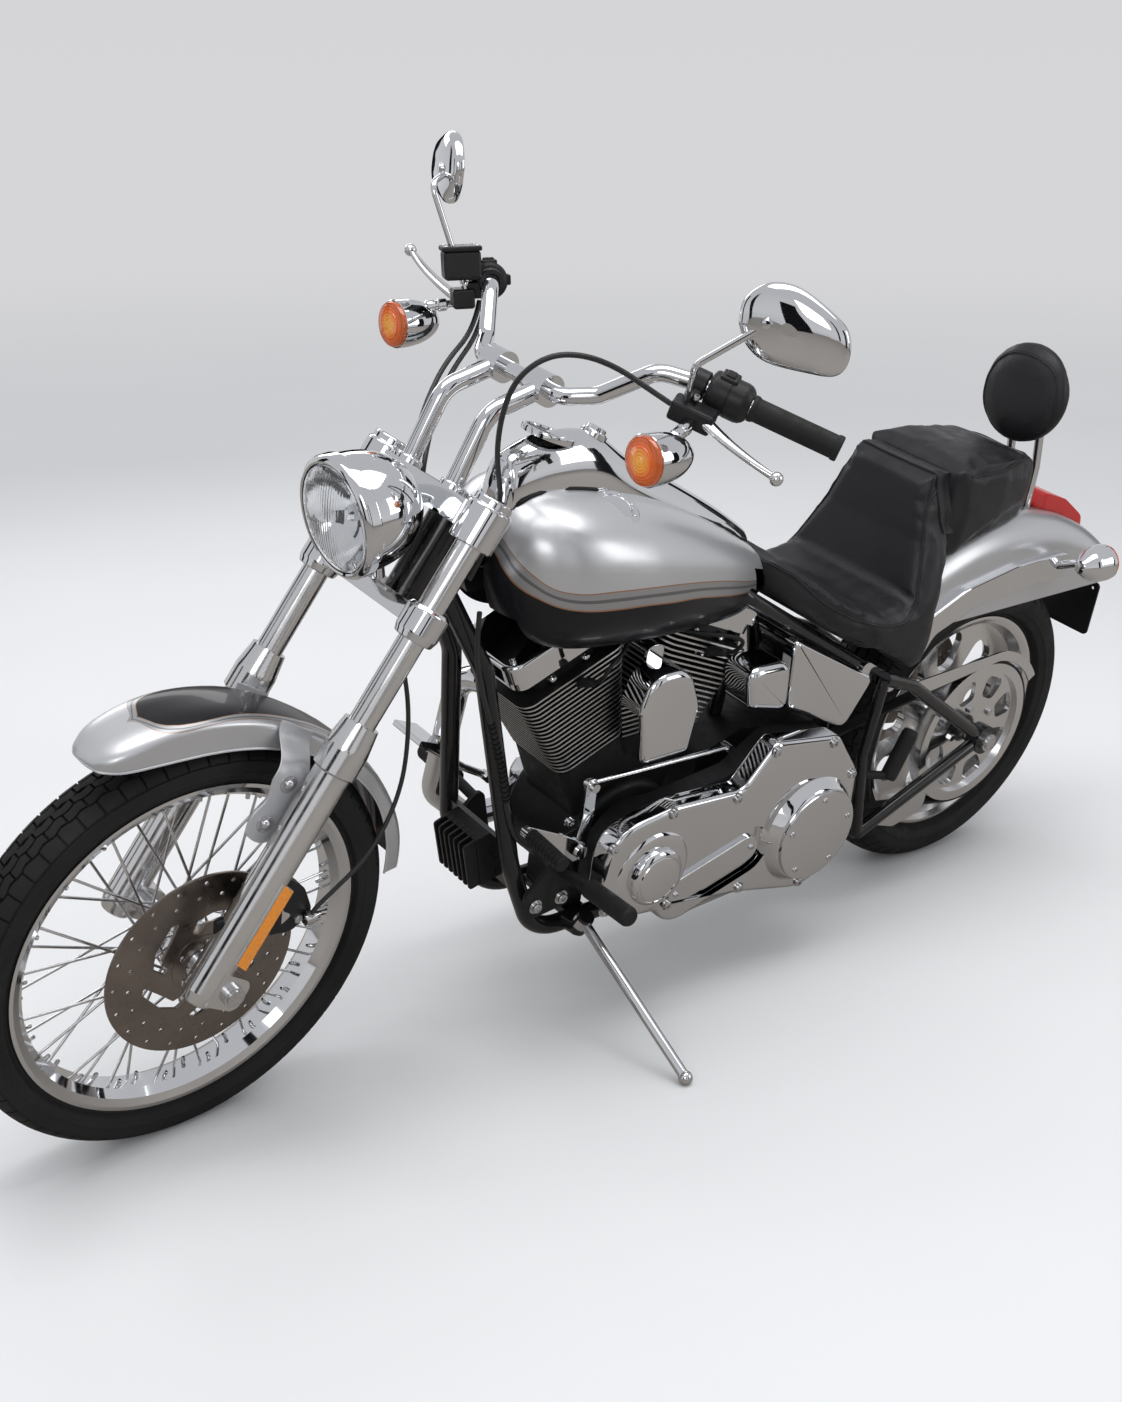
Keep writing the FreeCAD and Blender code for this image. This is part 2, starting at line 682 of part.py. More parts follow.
def arch_shell(outer_r, half, depth, thickness, crown, start, end):
    """A mudguard: a crowned channel turned about the wheel's axle from start to end degrees."""
    def section(radius, width, low):
        return [V(low, -width, 0), V(radius - crown, -width, 0), V(radius, 0, 0),
                V(radius - crown, width, 0), V(low, width, 0)]

    def solid(radius, width, low):
        a, b, c, d, e = section(radius, width, low)
        edges = [Part.LineSegment(a, b).toShape(), Part.Arc(b, c, d).toShape(),
                 Part.LineSegment(d, e).toShape(), Part.LineSegment(e, a).toShape()]
        return Part.Face(Part.Wire(edges)).revolve(V(0, 0, 0), V(0, 1, 0), start - end)

    outer = solid(outer_r, half, outer_r - depth)
    inner = solid(outer_r - thickness, half - thickness, outer_r - depth - 5)
    shell = outer.cut(inner)
    return shell.rotate(V(0, 0, 0), V(0, 1, 0), -start)


def front_fender():
    """Painted guard close over the front tyre, with a stay to each slider."""
    shell = arch_shell(FENDER_R, FENDER_HALF, 34, FENDER_T, 16, FENDER_FROM, FENDER_TO)
    shell.translate(FRONT_AXLE)
    pieces = [shell]
    for side in (1, -1):
        outer = FORK_HALF - SLIDER_R
        inner = FENDER_HALF
        stay = [(-6, 250, 12), (30, 250, 12), (30, 352, 4), (-6, 366, 4)]
        place = [from_fork((u, 0, v)) for u, v, r in stay]
        corners = [(point.x, point.z, stay[index][2]) for index, point in enumerate(place)]
        pieces.append(side_plate(corners, side * inner, side * outer))
    return join(pieces)


def front_caliper():
    """Brake caliper behind the left slider, straddling the disc."""
    body = side_plate([(-150, 42, 14), (-92, 20, 14), (-60, 96, 14), (-122, 124, 14)], FRONT_DISC_Y - 22,
                      FORK_HALF - SLIDER_R + 4)
    slot = spin([(20, FRONT_DISC_Y - DISC_T / 2 - 3), (DISC_R + 3, FRONT_DISC_Y - DISC_T / 2 - 3),
                 (DISC_R + 3, FRONT_DISC_Y + DISC_T / 2 + 3), (20, FRONT_DISC_Y + DISC_T / 2 + 3)], direction=(0, 1, 0))
    ear = side_plate([(-100, 60, 8), (FORK_LEAD - 20, 60, 4), (FORK_LEAD - 20, 110, 4), (-100, 110, 8)],
                     FORK_HALF - 14, FORK_HALF - 2)
    bridge = side_plate([(-118, 60, 8), (-78, 50, 8), (-66, 104, 8), (-106, 116, 8)], FORK_HALF - SLIDER_R,
                        FORK_HALF - 2)
    return join([cut(body, [slot]), ear, bridge])


# Engine

def in_cylinder_frame(shape, direction):
    """Tip a shape drawn upright over the crank to the front (1) or rear (-1) cylinder."""
    shape.rotate(V(0, 0, 0), V(0, 1, 0), direction * CYLINDER_ANGLE)
    shape.translate(V(CRANK_X, 0, CRANK_Z))
    return shape


def fin(half_x, half_y, low, thickness, corner):
    return top_plate(box_corners(-half_x, half_x, -half_y, half_y, corner), low, low + thickness)


def cylinder(direction):
    """Finned barrel and head as one black casting."""
    pieces = [Part.makeCylinder(56, FIN_TOP - FIN_LOW + 6, V(0, 0, FIN_LOW - 6)),
              top_plate(box_corners(-62, 62, -60, 60, 12), FIN_TOP, HEAD_TOP)]
    count = int((HEAD_TOP - 26 - FIN_LOW) / FIN_PITCH)
    for index in range(count + 1):
        low = FIN_LOW + index * FIN_PITCH
        share = index / count
        half_x = 72 + 34 * share
        half_y = 76 + 6 * share
        pieces.append(fin(half_x, half_y, low, FIN_T, 24))
    return in_cylinder_frame(join(pieces), direction)


def rocker_cover(direction):
    """Chrome rocker box in two tiers."""
    base = top_plate(box_corners(-100, 100, -70, 70, 22), HEAD_TOP, HEAD_TOP + 20)
    top = top_plate(box_corners(-108, 108, -76, 76, 26), HEAD_TOP + 20, ROCKER_TOP)
    top = soften(top, 8, lambda edge: edge.BoundBox.ZMin > ROCKER_TOP - 0.1)
    return in_cylinder_frame(join([base, top]), direction)


def deck(direction):
    block = top_plate(box_corners(-66, 66, -72, 72, 14), 60, FIN_LOW - 6)
    return in_cylinder_frame(block, direction)


def engine_case():
    """Crankcase: a round drum with a deck for each cylinder and feet on the cradle."""
    drum = spin([(0, -CASE_HALF), (116, -CASE_HALF, 12), (116, CASE_HALF, 12), (90, CASE_HALF), (90, PRIMARY_IN),
                 (0, PRIMARY_IN)], origin=(CRANK_X, 0, CRANK_Z), direction=(0, 1, 0))
    feet = [side_plate(box_corners(x - 20, x + 20, CRADLE_Z + 10, CRADLE_Z + 80, 4), -54, 54)
            for x in (CRANK_X - 60, CRANK_X + 60)]
    return join([drum, deck(1), deck(-1)] + feet)


def cam_cover():
    """Chrome cam cover on the right of the crankcase."""
    cover = side_plate([(CRANK_X - 95, CRANK_Z - 70, 40), (CRANK_X + 95, CRANK_Z - 70, 40),
                        (CRANK_X + 90, CRANK_Z + 70, 40), (CRANK_X, CRANK_Z + 118, 30),
                        (CRANK_X - 90, CRANK_Z + 70, 40)], -CASE_HALF, -CASE_HALF - 34)
    return soften(cover, 8, lambda edge: edge.BoundBox.YMax < -CASE_HALF - 33)


PRIMARY_OUTLINE = [(1016, 250, 78), (1012, 420, 84), (850, 428, 30), (722, 440, 40), (640, 492, 30),
                   (505, 472, 36), (450, 400, 50), (434, 250, 100), (530, 182, 90), (700, 218, 80)]


def grow(points, amount):
    """Push an outline outward from its middle by about amount."""
    middle_x = sum(point[0] for point in points) / len(points)
    middle_z = sum(point[1] for point in points) / len(points)
    moved = []
    for x, z, radius in points:
        away = unit(V(x - middle_x, 0, z - middle_z)) * amount
        moved.append((x + away.x, z + away.z, radius))
    return moved


def primary_case():
    """Black inner primary case that joins engine and gearbox."""
    return side_plate(grow(PRIMARY_OUTLINE, 4), PRIMARY_IN, PRIMARY_SPLIT)


DERBY = (566, 316)
DERBY_R = 92.0


def primary_cover():
    """Chrome primary cover with a raised clutch housing, clutch cover and alternator cap."""
    shell = side_plate(PRIMARY_OUTLINE, PRIMARY_SPLIT, PRIMARY_FACE)
    shell = soften(shell, 9, lambda edge: edge.BoundBox.YMin > PRIMARY_FACE - 0.1)
    raised = spin([(0, PRIMARY_FACE - 10), (112, PRIMARY_FACE - 10), (DERBY_R + 2, PRIMARY_FACE + 18, 4),
                   (0, PRIMARY_FACE + 18)], origin=(DERBY[0], 0, DERBY[1]), direction=(0, 1, 0))
    derby = spin([(0, PRIMARY_FACE + 18), (DERBY_R, PRIMARY_FACE + 18), (DERBY_R, PRIMARY_FACE + 26, 4),
                  (0, PRIMARY_FACE + 28)], origin=(DERBY[0], 0, DERBY[1]), direction=(0, 1, 0))
    cap = spin([(0, PRIMARY_FACE - 5), (44, PRIMARY_FACE - 5), (38, PRIMARY_FACE + 14, 4), (0, PRIMARY_FACE + 16)],
               origin=(CRANK_X + 5, 0, CRANK_Z + 6), direction=(0, 1, 0))
    return join([shell, raised, derby, cap])


def gearbox():
    """Gearbox behind the engine."""
    body = side_plate([(440, 235, 20), (740, 235, 20), (740, 440, 20), (640, 470, 20), (440, 440, 20)], -96, 72)
    boss = rod((640, 60, 350), (640, PRIMARY_IN, 350), 60)
    return join([body, boss])


def horn_cover():
    """Chrome waisted cover between the cylinders, on a bracket from the manifold."""
    shell = side_plate([(868, 545, 16), (955, 545, 16), (968, 640, 30), (940, 688, 34), (888, 688, 34), (858, 640, 30)],
                       102, 152)
    shell = soften(shell, 12, lambda edge: edge.BoundBox.YMin > 151)
    bracket = side_plate([(890, 640, 6), (926, 640, 6), (926, 708, 16), (890, 708, 16)], 96, 102)
    stay = rod((908, 20, 696), (908, 96, 696), 9)
    return join([shell, bracket, stay])


def intake():
    """Manifold between the heads and the carburettor on the right."""
    bend = rod((866, 0, 690), (950, 0, 690), 20)
    body = rod((908, 20, 690), (908, -96, 690), 24)
    return join([bend, body])


def air_cleaner():
    """Round chrome filter housing below the tank, on the right."""
    return spin([(0, 96), (AIR_R - 6, 96), (AIR_R, 104, 6), (AIR_R, 132, 14), (AIR_R - 38, 146, 20), (0, 148)],
                origin=(CRANK_X, 0, 632), direction=(0, -1, 0))


def exhaust():
    """Two pipes down the right side into staggered silencers."""
    front = tube([(1096, -50, 600), (1118, -134, 592), (1112, -188, 330), (1010, -212, 232), (300, -212, 232)], 22, 62)
    rear = tube([(708, -50, 590), (672, -134, 560), (600, -206, 420), (430, -220, 342), (300, -220, 342)], 22, 50)
    lower = spin([(0, 0), (24, 0), (44, 70, 30), (46, 620), (40, 622), (40, 560), (0, 560)],
                 origin=(330, -212, 232), direction=(-1, 0, 0))
    upper = spin([(0, 0), (24, 0), (44, 70, 30), (46, 560), (40, 562), (40, 500), (0, 500)],
                 origin=(330, -220, 342), direction=(-1, 0, 0))
    return Part.makeCompound([join([front, lower]), join([rear, upper])])


def oil_tank():
    """Chrome horseshoe oil tank below the seat."""
    body = side_plate([(606, 652, 14), (414, 524, 14), (448, 460, 14), (600, 512, 14)], -98, 132)
    body = soften(body, 10, lambda edge: edge.BoundBox.YMin > 131 or edge.BoundBox.YMax < -97)
    tab = side_plate(box_corners(500, 530, 560, 640, 4), 92, 98)
    return join([body, tab])


def coil_cover():
    cover = side_plate([(620, 560, 16), (684, 566, 16), (694, 628, 18), (628, 636, 18)], 84, 138)
    return soften(cover, 12, lambda edge: edge.BoundBox.YMin > 137)


# Frame and rear end

RAIL_PATH = [(770, 10, 812), (712, 90, 752), (395, 100, 560), (306, 100, 506)]
POST_PATH = [(386, 92, 552), (372, 58, 480), (352, 58, CRADLE_Z)]
DOWN_PATH = [(1306, 12, 890), (1208, 44, 700), (1148, 88, 350), (1070, CRADLE_Y, CRADLE_Z), (440, CRADLE_Y, CRADLE_Z),
             (352, 58, CRADLE_Z)]


BACKBONE_PATH = [(1304, 0, 895), (720, 0, 800), (604, 0, 712)]
POST_LEAN = [(612, 0, 716), (628, 0, 640), (640, 0, 470)]


def frame_tubes(air):
    """The tubes under tank and seat, made thicker by some air."""
    tubes = [tube(BACKBONE_PATH, BACKBONE_R + air, 70), tube(POST_LEAN, RAIL_R + air, 20)]
    return tubes + both_sides(tube(RAIL_PATH, RAIL_R + air, 60))


def frame():
    """Welded tube cradle with steering head, backbone, down tubes and seat rails."""
    head = spin([(STEM_R + RUNNING_GAP, LOWER_CLAMP_Z + 14 + SIDE_GAP), (HEAD_TUBE_R, LOWER_CLAMP_Z + 14 + SIDE_GAP),
                 (HEAD_TUBE_R, UPPER_CLAMP_Z - 19 - SIDE_GAP), (STEM_R + RUNNING_GAP, UPPER_CLAMP_Z - 19 - SIDE_GAP)],
                origin=(STEM_X, 0, 0))
    head = on_fork(head)
    stem_room = on_fork(rod((STEM_X, 0, LOWER_CLAMP_Z), (STEM_X, 0, UPPER_CLAMP_Z), STEM_R + RUNNING_GAP))
    backbone = tube(BACKBONE_PATH, BACKBONE_R, 70)
    sides = []
    for path, radius, bend in ((RAIL_PATH, RAIL_R, 60), (POST_PATH, RAIL_R, 60), (DOWN_PATH, FRAME_TUBE_R, 90)):
        sides += both_sides(tube(path, radius, bend))
    seat_post = tube(POST_LEAN, RAIL_R, 20)
    crosses = [side_plate(box_corners(x - 22, x + 22, CRADLE_Z - 6, CRADLE_Z + 10, 3), -CRADLE_Y, CRADLE_Y)
               for x in (CRANK_X - 60, CRANK_X + 60)]
    crosses.append(side_plate(box_corners(500, 540, CRADLE_Z - 6, 235, 3), -CRADLE_Y, CRADLE_Y))
    crosses.append(side_plate([(1130, 298), (1140, 298), (1162, 392), (1152, 392)], -88, 88))
    crosses.append(side_plate(box_corners(628, 664, 586, 602, 3), 0, 84))
    whole = join([head, backbone, seat_post] + sides + crosses)
    return Part.makeCompound([cut(whole, [stem_room]), stand_bracket()])


ARM_Y = 132.0
ARM_PIVOT = (326, 190)


def swingarm():
    """Triangular swingarm: two forks joined at a pivot tube, with a lug round the axle."""
    pieces = []
    for side in (1, -1):
        y = side * ARM_Y
        upper = tube([(0, y, REAR_AXLE_Z), (262, y, 500), (346, y, 532)], 13, 60)
        lower = tube([(0, y, REAR_AXLE_Z), (ARM_PIVOT[0], y, ARM_PIVOT[1])], 13, 0)
        brace = tube([(346, y, 532), (362, y, 372), (ARM_PIVOT[0], y, ARM_PIVOT[1])], 11, 60)
        lug = rod((0, y - 14, REAR_AXLE_Z), (0, y + 14, REAR_AXLE_Z), 30)
        pieces += [upper, lower, brace, lug]
    pieces.append(rod((ARM_PIVOT[0], -ARM_Y, ARM_PIVOT[1]), (ARM_PIVOT[0], ARM_Y, ARM_PIVOT[1]), 12))
    bore = rod((0, -200, REAR_AXLE_Z), (0, 200, REAR_AXLE_Z), AXLE_R)
    return cut(join(pieces), [bore])


def rear_axle():
    """Axle held by the swingarm, with spacers beside the wheel and nuts outside."""
    end = ARM_Y + 28
    pieces = [rod((0, -end, REAR_AXLE_Z), (0, end, REAR_AXLE_Z), AXLE_R)]
    left_in, right_in = REAR_HUB_HALF + SIDE_GAP, REAR_HUB_HALF + SIDE_GAP
    pieces.append(rod((0, left_in, REAR_AXLE_Z), (0, ARM_Y - 14, REAR_AXLE_Z), AXLE_R + 5))
    pieces.append(rod((0, -right_in, REAR_AXLE_Z), (0, -ARM_Y + 14, REAR_AXLE_Z), AXLE_R + 5))
    for side in (1, -1):
        pieces.append(rod((0, side * (ARM_Y + 14), REAR_AXLE_Z), (0, side * (ARM_Y + 24), REAR_AXLE_Z), 19))
    return join(pieces)


def belt():
    """Drive belt as one fixed loop round both pulleys."""
    large = PULLEY_R + BELT_GAP
    small = DRIVE_PULLEY_R + BELT_GAP
    dx, dz = DRIVE_X, DRIVE_Z - REAR_AXLE_Z
    distance = math.hypot(dx, dz)
    tilt = math.atan2(dz, dx)
    spread = math.acos((large - small) / distance)

    def loop(extra):
        big, little = large + extra, small + extra
        top, low = tilt + spread, tilt - spread
        at = lambda x, z, r, a: V(x + r * math.cos(a), 0, z + r * math.sin(a))
        edges = [Part.Arc(at(0, REAR_AXLE_Z, big, top), at(0, REAR_AXLE_Z, big, tilt + math.pi),
                          at(0, REAR_AXLE_Z, big, low)).toShape(),
                 Part.LineSegment(at(0, REAR_AXLE_Z, big, low), at(DRIVE_X, DRIVE_Z, little, low)).toShape(),
                 Part.Arc(at(DRIVE_X, DRIVE_Z, little, low), at(DRIVE_X, DRIVE_Z, little, tilt),
                          at(DRIVE_X, DRIVE_Z, little, top)).toShape(),
                 Part.LineSegment(at(DRIVE_X, DRIVE_Z, little, top), at(0, REAR_AXLE_Z, big, top)).toShape()]
        return Part.Face(Part.Wire(edges)).extrude(V(0, BELT_W, 0))

    band = loop(BELT_T).cut(loop(0))
    band.translate(V(0, PULLEY_Y - BELT_W / 2, 0))
    return band


def drive_pulley():
    wheel = rod((DRIVE_X, PULLEY_Y - PULLEY_W / 2, DRIVE_Z), (DRIVE_X, PULLEY_Y + PULLEY_W / 2, DRIVE_Z),
                DRIVE_PULLEY_R)
    return join([wheel, rod((DRIVE_X, 72, DRIVE_Z), (DRIVE_X, PRIMARY_IN, DRIVE_Z), 22)])


def belt_guard():
    """Chrome strip over the top run, curled round the back of the rear pulley."""
    y = ARM_Y - 16
    outer, inner = 184.0, 156.0 + BELT_T + 3
    start, end = 96.0, 146.0
    arc_out = Part.Arc(polar(outer, start, 0), polar(outer, (start + end) / 2, 0), polar(outer, end, 0)).toShape()
    arc_in = Part.Arc(polar(inner, end, 0), polar(inner, (start + end) / 2, 0), polar(inner, start, 0)).toShape()
    front_high = V(232, 0, 172)
    front_low = V(222, 0, 138)
    edges = [arc_out, Part.LineSegment(polar(outer, end, 0), polar(inner, end, 0)).toShape(), arc_in,
             Part.LineSegment(polar(inner, start, 0), front_low).toShape(),
             Part.LineSegment(front_low, front_high).toShape(),
             Part.LineSegment(front_high, polar(outer, start, 0)).toShape()]
    plate = Part.Face(Part.Wire(edges)).extrude(V(0, 3, 0))
    plate.translate(V(0, y, REAR_AXLE_Z))
    return plate


FENDER_TOP = 776.0
REAR_ARCH_R = 569.0
REAR_FENDER_HALF = 112.0
FENDER_STEEL = 3.0
STRUT_T = 12.0
PLATE_X = -352.0
PLATE_T = 4.0
PLATE_TOP = 575.0
PLATE_HALF = 88.0
PLATE_HOLES = 146.0       # between the screws of a small number plate
PLATE_HOLE_R = 3.5


def rear_fender():
    """Painted rear guard with a long tail, pressed with rounded shoulders."""
    centre_z = FENDER_TOP - REAR_ARCH_R
    start, end = 54.0, 139.0

    def band(radius, half, round_r):
        low = radius - 330
        face = flat_face([(low, -half), (radius, -half, round_r), (radius, half, round_r), (low, half)],
                         lambda u, v: V(u, v, 0))
        solid = face.revolve(V(0, 0, 0), V(0, 1, 0), start - end)
        return solid.rotate(V(0, 0, 0), V(0, 1, 0), -start)

    shell = band(REAR_ARCH_R, REAR_FENDER_HALF, 60)
    shell = shell.cut(band(REAR_ARCH_R - FENDER_STEEL, REAR_FENDER_HALF - FENDER_STEEL, 60 - FENDER_STEEL))
    shell.translate(V(0, 0, centre_z))
    room = Part.makeBox(900, 400, 400, V(-480, -200, 600))
    return shell.common(room)


def fender_struts():
    """Chrome side bars that carry the rear guard."""
    outline = [(246, 540, 8), (288, 540, 8), (262, 622, 60), (150, 672, 80), (10, 696, 60), (-150, 698, 22),
               (-164, 646, 22), (0, 640, 60), (110, 628, 60), (216, 590, 40)]
    bar = side_plate(outline, REAR_FENDER_HALF, REAR_FENDER_HALF + STRUT_T)
    bar = soften(bar, 4, lambda edge: edge.BoundBox.YMin > REAR_FENDER_HALF + STRUT_T - 0.1)
    return Part.makeCompound(both_sides(bar))


def seat_brackets():
    """Chrome plates that tie the struts to the frame rails."""
    plate = side_plate([(398, 578, 14), (290, 512, 14), (300, 484, 14), (402, 546, 14)],
                       RAIL_PATH[-1][1] + RAIL_R, RAIL_PATH[-1][1] + RAIL_R + 6)
    return Part.makeCompound(both_sides(plate))


REAR_SIGNAL = (-160, 192, 703)


def rear_signals():
    """Bullet lamps on short arms from the struts."""
    pieces = []
    for side in (1, -1):
        face = mirror_y(REAR_SIGNAL, side)
        shell = spin([(0, -74), (12, -72, 8), (30, -44, 30), (36, -12, 20), (36, 0, 3), (0, 0)],
                     origin=face, direction=(-1, 0, 0))
        lens = spin([(0, 0), (34, 0), (34, 5, 3), (22, 10, 8), (0, 11)], origin=face, direction=(-1, 0, 0))
        arm = rod((-118, side * (REAR_FENDER_HALF + STRUT_T), 676), (face.x + 36, face.y - side * 20, face.z - 4), 9)
        pieces.append(join([shell, lens, arm]))
    return Part.makeCompound(pieces)


def tail_lamp():
    """Low red lamp that follows the crown of the rear guard."""
    body = side_plate([(-118, 700), (-118, 768, 6), (-144, 792, 14), (-215, 768, 60), (-280, 726, 30), (-320, 688, 6),
                       (-290, 650)], -46, 46)
    plan = top_plate([(-116, -30, 16), (-116, 30, 16), (-146, 44, 20), (-290, 38, 30), (-324, 20, 14),
                      (-324, -20, 14), (-290, -38, 30), (-146, -44, 20)], 600, 900)
    crown = Part.makeCylinder(REAR_ARCH_R + SIDE_GAP, 300, V(0, -150, FENDER_TOP - REAR_ARCH_R), V(0, 1, 0))
    return body.common(plan).cut(crown)


def plate_hole(side):
    """Centre of a number plate's screw hole, on the carrier's rear face."""
    return V(PLATE_X, side * PLATE_HOLES / 2, PLATE_TOP - 14)


def plate_bracket():
    """Black plate carrier on a block under the tail, with a hole for each of the plate's two screws."""
    plate = front_plate(box_corners(-PLATE_HALF, PLATE_HALF, PLATE_TOP - 118, PLATE_TOP, 10), PLATE_X,
                        PLATE_X + PLATE_T)
    block = Part.makeBox(52, 44, 110, V(PLATE_X, -22, PLATE_TOP - 10))
    under = Part.makeCylinder(REAR_ARCH_R - FENDER_STEEL, 100, V(0, -50, FENDER_TOP - REAR_ARCH_R), V(0, 1, 0))
    holes = [rod(plate_hole(side) - V(10, 0, 0), plate_hole(side) + V(20, 0, 0), PLATE_HOLE_R) for side in (1, -1)]
    return cut(join([plate, block.common(under)]), holes)


TANK_STATIONS = [(1218, 850, 915, 44), (1200, 800, 948, 92), (1160, 752, 977, 138), (1080, 724, 981, 163),
                 (980, 716, 960, 166), (870, 706, 924, 148), (760, 696, 874, 116), (670, 690, 822, 78),
                 (598, 700, 762, 36)]
TANK_WAIST = 0.45         # height of the widest line, as a share of each station
TANK_SQUARE = 2.6
TUNNEL_HALF = 84.0
SEAT_HALF = 168.0
TUNNEL_TOP = 800.0
TANK_AIR = 4.0
CAP_R = 38.0


def tank_body(air=0.0):
    """The tank's outer skin through its stations, (x, low, high, half width)."""
    rings = []
    for x, low, high, half in TANK_STATIONS:
        waist = low + TANK_WAIST * (high - low)
        ring = []
        for across, up in oval(TANK_SQUARE, 12):
            reach = (high - waist if up > 0 else waist - low) + air
            ring.append(V(x, (half + air) * across, waist + reach * up))
        rings.append(smooth_ring(ring))
    return Part.makeLoft(rings, True, False)


def fuel_tank():
    """Stretched teardrop tank with a tunnel for the backbone and rocker boxes."""
    tunnel = side_plate([(560, 600), (1260, 600), (1260, TUNNEL_TOP), (700, TUNNEL_TOP), (560, 740)],
                        -TUNNEL_HALF, TUNNEL_HALF)
    groove = BACKBONE_R + 2 * TANK_AIR
    spine = side_plate([(1300, 700), (1300, 934), (720, 836), (560, 690), (560, 600)], -groove, groove)
    tubes = frame_tubes(TANK_AIR)
    return tank_body().cut([tunnel, spine, tank_console(), filler_cap()] + tubes)


def tank_console():
    """Chrome console along the top of the tank."""
    top = side_plate([(1190, 985, 20), (1150, 1010, 60), (1020, 1000, 200), (830, 938, 200), (668, 838, 6),
                      (668, 812, 4), (840, 880, 100), (1020, 935, 100), (1190, 950, 6)], -42, 42)
    return soften(top, 5, lambda edge: False)


def filler_cap():
    """Flush turned cap let into the left of the tank's top."""
    return spin([(0, -8), (CAP_R, -8), (CAP_R, 5, 3), (0, 7)], origin=(1022, 82, 952), direction=(0, 0.42, 1))


def rider_seat():
    """Deep bucket seat with side valances, closed below."""
    side = side_plate([(662, 822, 16), (600, 780, 60), (500, 712, 90), (420, 684, 50), (346, 696, 26), (318, 790, 60),
                       (300, 912, 20), (256, 922, 12), (246, 800, 10), (262, 600, 10), (285, 566, 16), (322, 558, 20),
                       (505, 655, 60), (650, 742, 10)], -SEAT_HALF, SEAT_HALF)
    left = [(672, 50, 24), (600, 112, 60), (540, 150, 60), (440, SEAT_HALF, 80), (300, SEAT_HALF, 60), (240, 140, 20)]
    right = [(x, -y, r) for x, y, r in reversed(left)]
    plan = top_plate(left + right, 500, 1000)
    left = [(SEAT_HALF + 6, 540, 10), (SEAT_HALF + 6, 676, 60), (136, 790, 80), (98, 900, 16), (92, 930, 4)]
    right = [(-y, z, r) for y, z, r in reversed(left)]
    front = front_plate(left + right, 200, 700)
    body = side.common(plan).common(front)
    return body.cut([over_fender(REAR_FENDER_HALF + 2), tank_body(SIDE_GAP)] + frame_tubes(SIDE_GAP))


def pillion_seat():
    """Passenger pad on the rear guard, narrower to the back."""
    side = side_plate([(244, 740), (244, 916, 14), (150, 922, 50), (40, 912, 60), (-40, 886, 24), (-66, 850, 16),
                       (-62, 790, 6), (-50, 740)], -140, 140)
    left = [(246, 118, 16), (100, 112, 60), (0, 92, 40), (-58, 62, 30)]
    right = [(x, -y, r) for x, y, r in reversed(left)]
    plan = top_plate(left + [(-68, 0, 100)] + right, 700, 1000)
    return side.common(plan).cut(over_fender(200))


def over_fender(half):
    """The room under the crown of the rear guard, with a little air."""
    return Part.makeCylinder(REAR_ARCH_R + 0.2, 2 * half, V(0, -half, FENDER_TOP - REAR_ARCH_R), V(0, 1, 0))


def backrest_pad():
    """Round pad, leaning back a little."""
    pad = spin([(0, -28), (60, -28, 30), (96, -14, 14), (96, 12, 14), (60, 28, 30), (0, 30)],
               origin=(-52, 0, 994), direction=(1, 0, 0.12))
    return pad


def sissy_bar():
    """Chrome uprights from the rear guard to the backrest pad."""
    posts = []
    for side in (1, -1):
        posts.append(tube([(-100, side * 32, 700), (-98, side * 32, 850), (-82, side * 32, 930),
                           (-94, side * 32, 1030)], 8, 40))
    bridge = rod((-98, -32, 840), (-98, 32, 840), 8)
    return join(posts + [bridge]).cut(over_fender(200))


# Foot controls and small fittings

def foot_pegs():
    """Forward pegs on brackets bolted to the down tubes."""
    pieces = []
    for side in (1, -1):
        plate = side_plate([(1034, 258, 14), (1128, 248, 14), (1132, 300, 14), (1060, 368, 14)],
                           side * 112, side * 120)
        arm = tube([(1060, side * 120, 330), (1060, side * 190, 338)], 10, 0)
        peg = spin([(0, 0), (17, 0, 3), (17, 100, 3), (14, 106, 3), (0, 106)], origin=(1060, side * 190, 338),
                   direction=(0, side, 0.06))
        pieces.append(join([plate, arm, peg]))
    return Part.makeCompound(pieces)


def shift_linkage():
    """Shift lever with its rubber toe peg, arm and long rod."""
    shaft = rod((1042, 120, 372), (1042, 140, 372), 9)
    lever = tube([(1042, 134, 372), (1090, 136, 400), (1162, 138, 445)], 6, 20)
    toe = rod((1162, 134, 447), (1162, 232, 440), 12)
    arm = tube([(1042, 132, 372), (1030, 130, 494)], 6, 0)
    link = rod((1030, 130, 492), (716, 124, 476), 4.5)
    return join([shaft, lever, toe, arm, link])


def brake_pedal():
    shaft = rod((1042, -120, 372), (1042, -140, 372), 9)
    lever = tube([(1042, -134, 372), (1090, -136, 400), (1166, -142, 456)], 7, 30)
    pad = side_plate([(1144, 450, 3), (1192, 470, 3), (1188, 480, 3), (1140, 460, 3)], -212, -130)
    return join([shaft, lever, pad])


def passenger_pegs():
    pieces = []
    for side in (1, -1):
        arm = tube([(352, side * ARM_Y, 330), (290, side * 146, 318)], 8, 0)
        peg = spin([(0, 0), (14, 0, 3), (16, 8), (16, 96), (13, 104, 3), (0, 104)],
                   origin=(290, side * 147, 312), direction=(-0.38, 0, 0.9))
        pieces.append(join([arm, peg]))
    return Part.makeCompound(pieces)


def regulator():
    """Finned voltage regulator low between the down tubes."""
    body = [side_plate([(1140, 298), (1168, 290), (1190, 384), (1162, 392)], -46, 46)]
    for index in range(7):
        y = -42 + 14 * index
        body.append(side_plate([(1160, 294, 4), (1190, 286, 6), (1212, 376, 6), (1180, 388, 4)], y - 2, y + 2))
    return join(body)


def lower_belt_guard():
    return side_plate([(300, 196, 6), (120, 240, 6), (110, 176, 30), (200, 160, 30)], ARM_Y - 16, ARM_Y - 13)


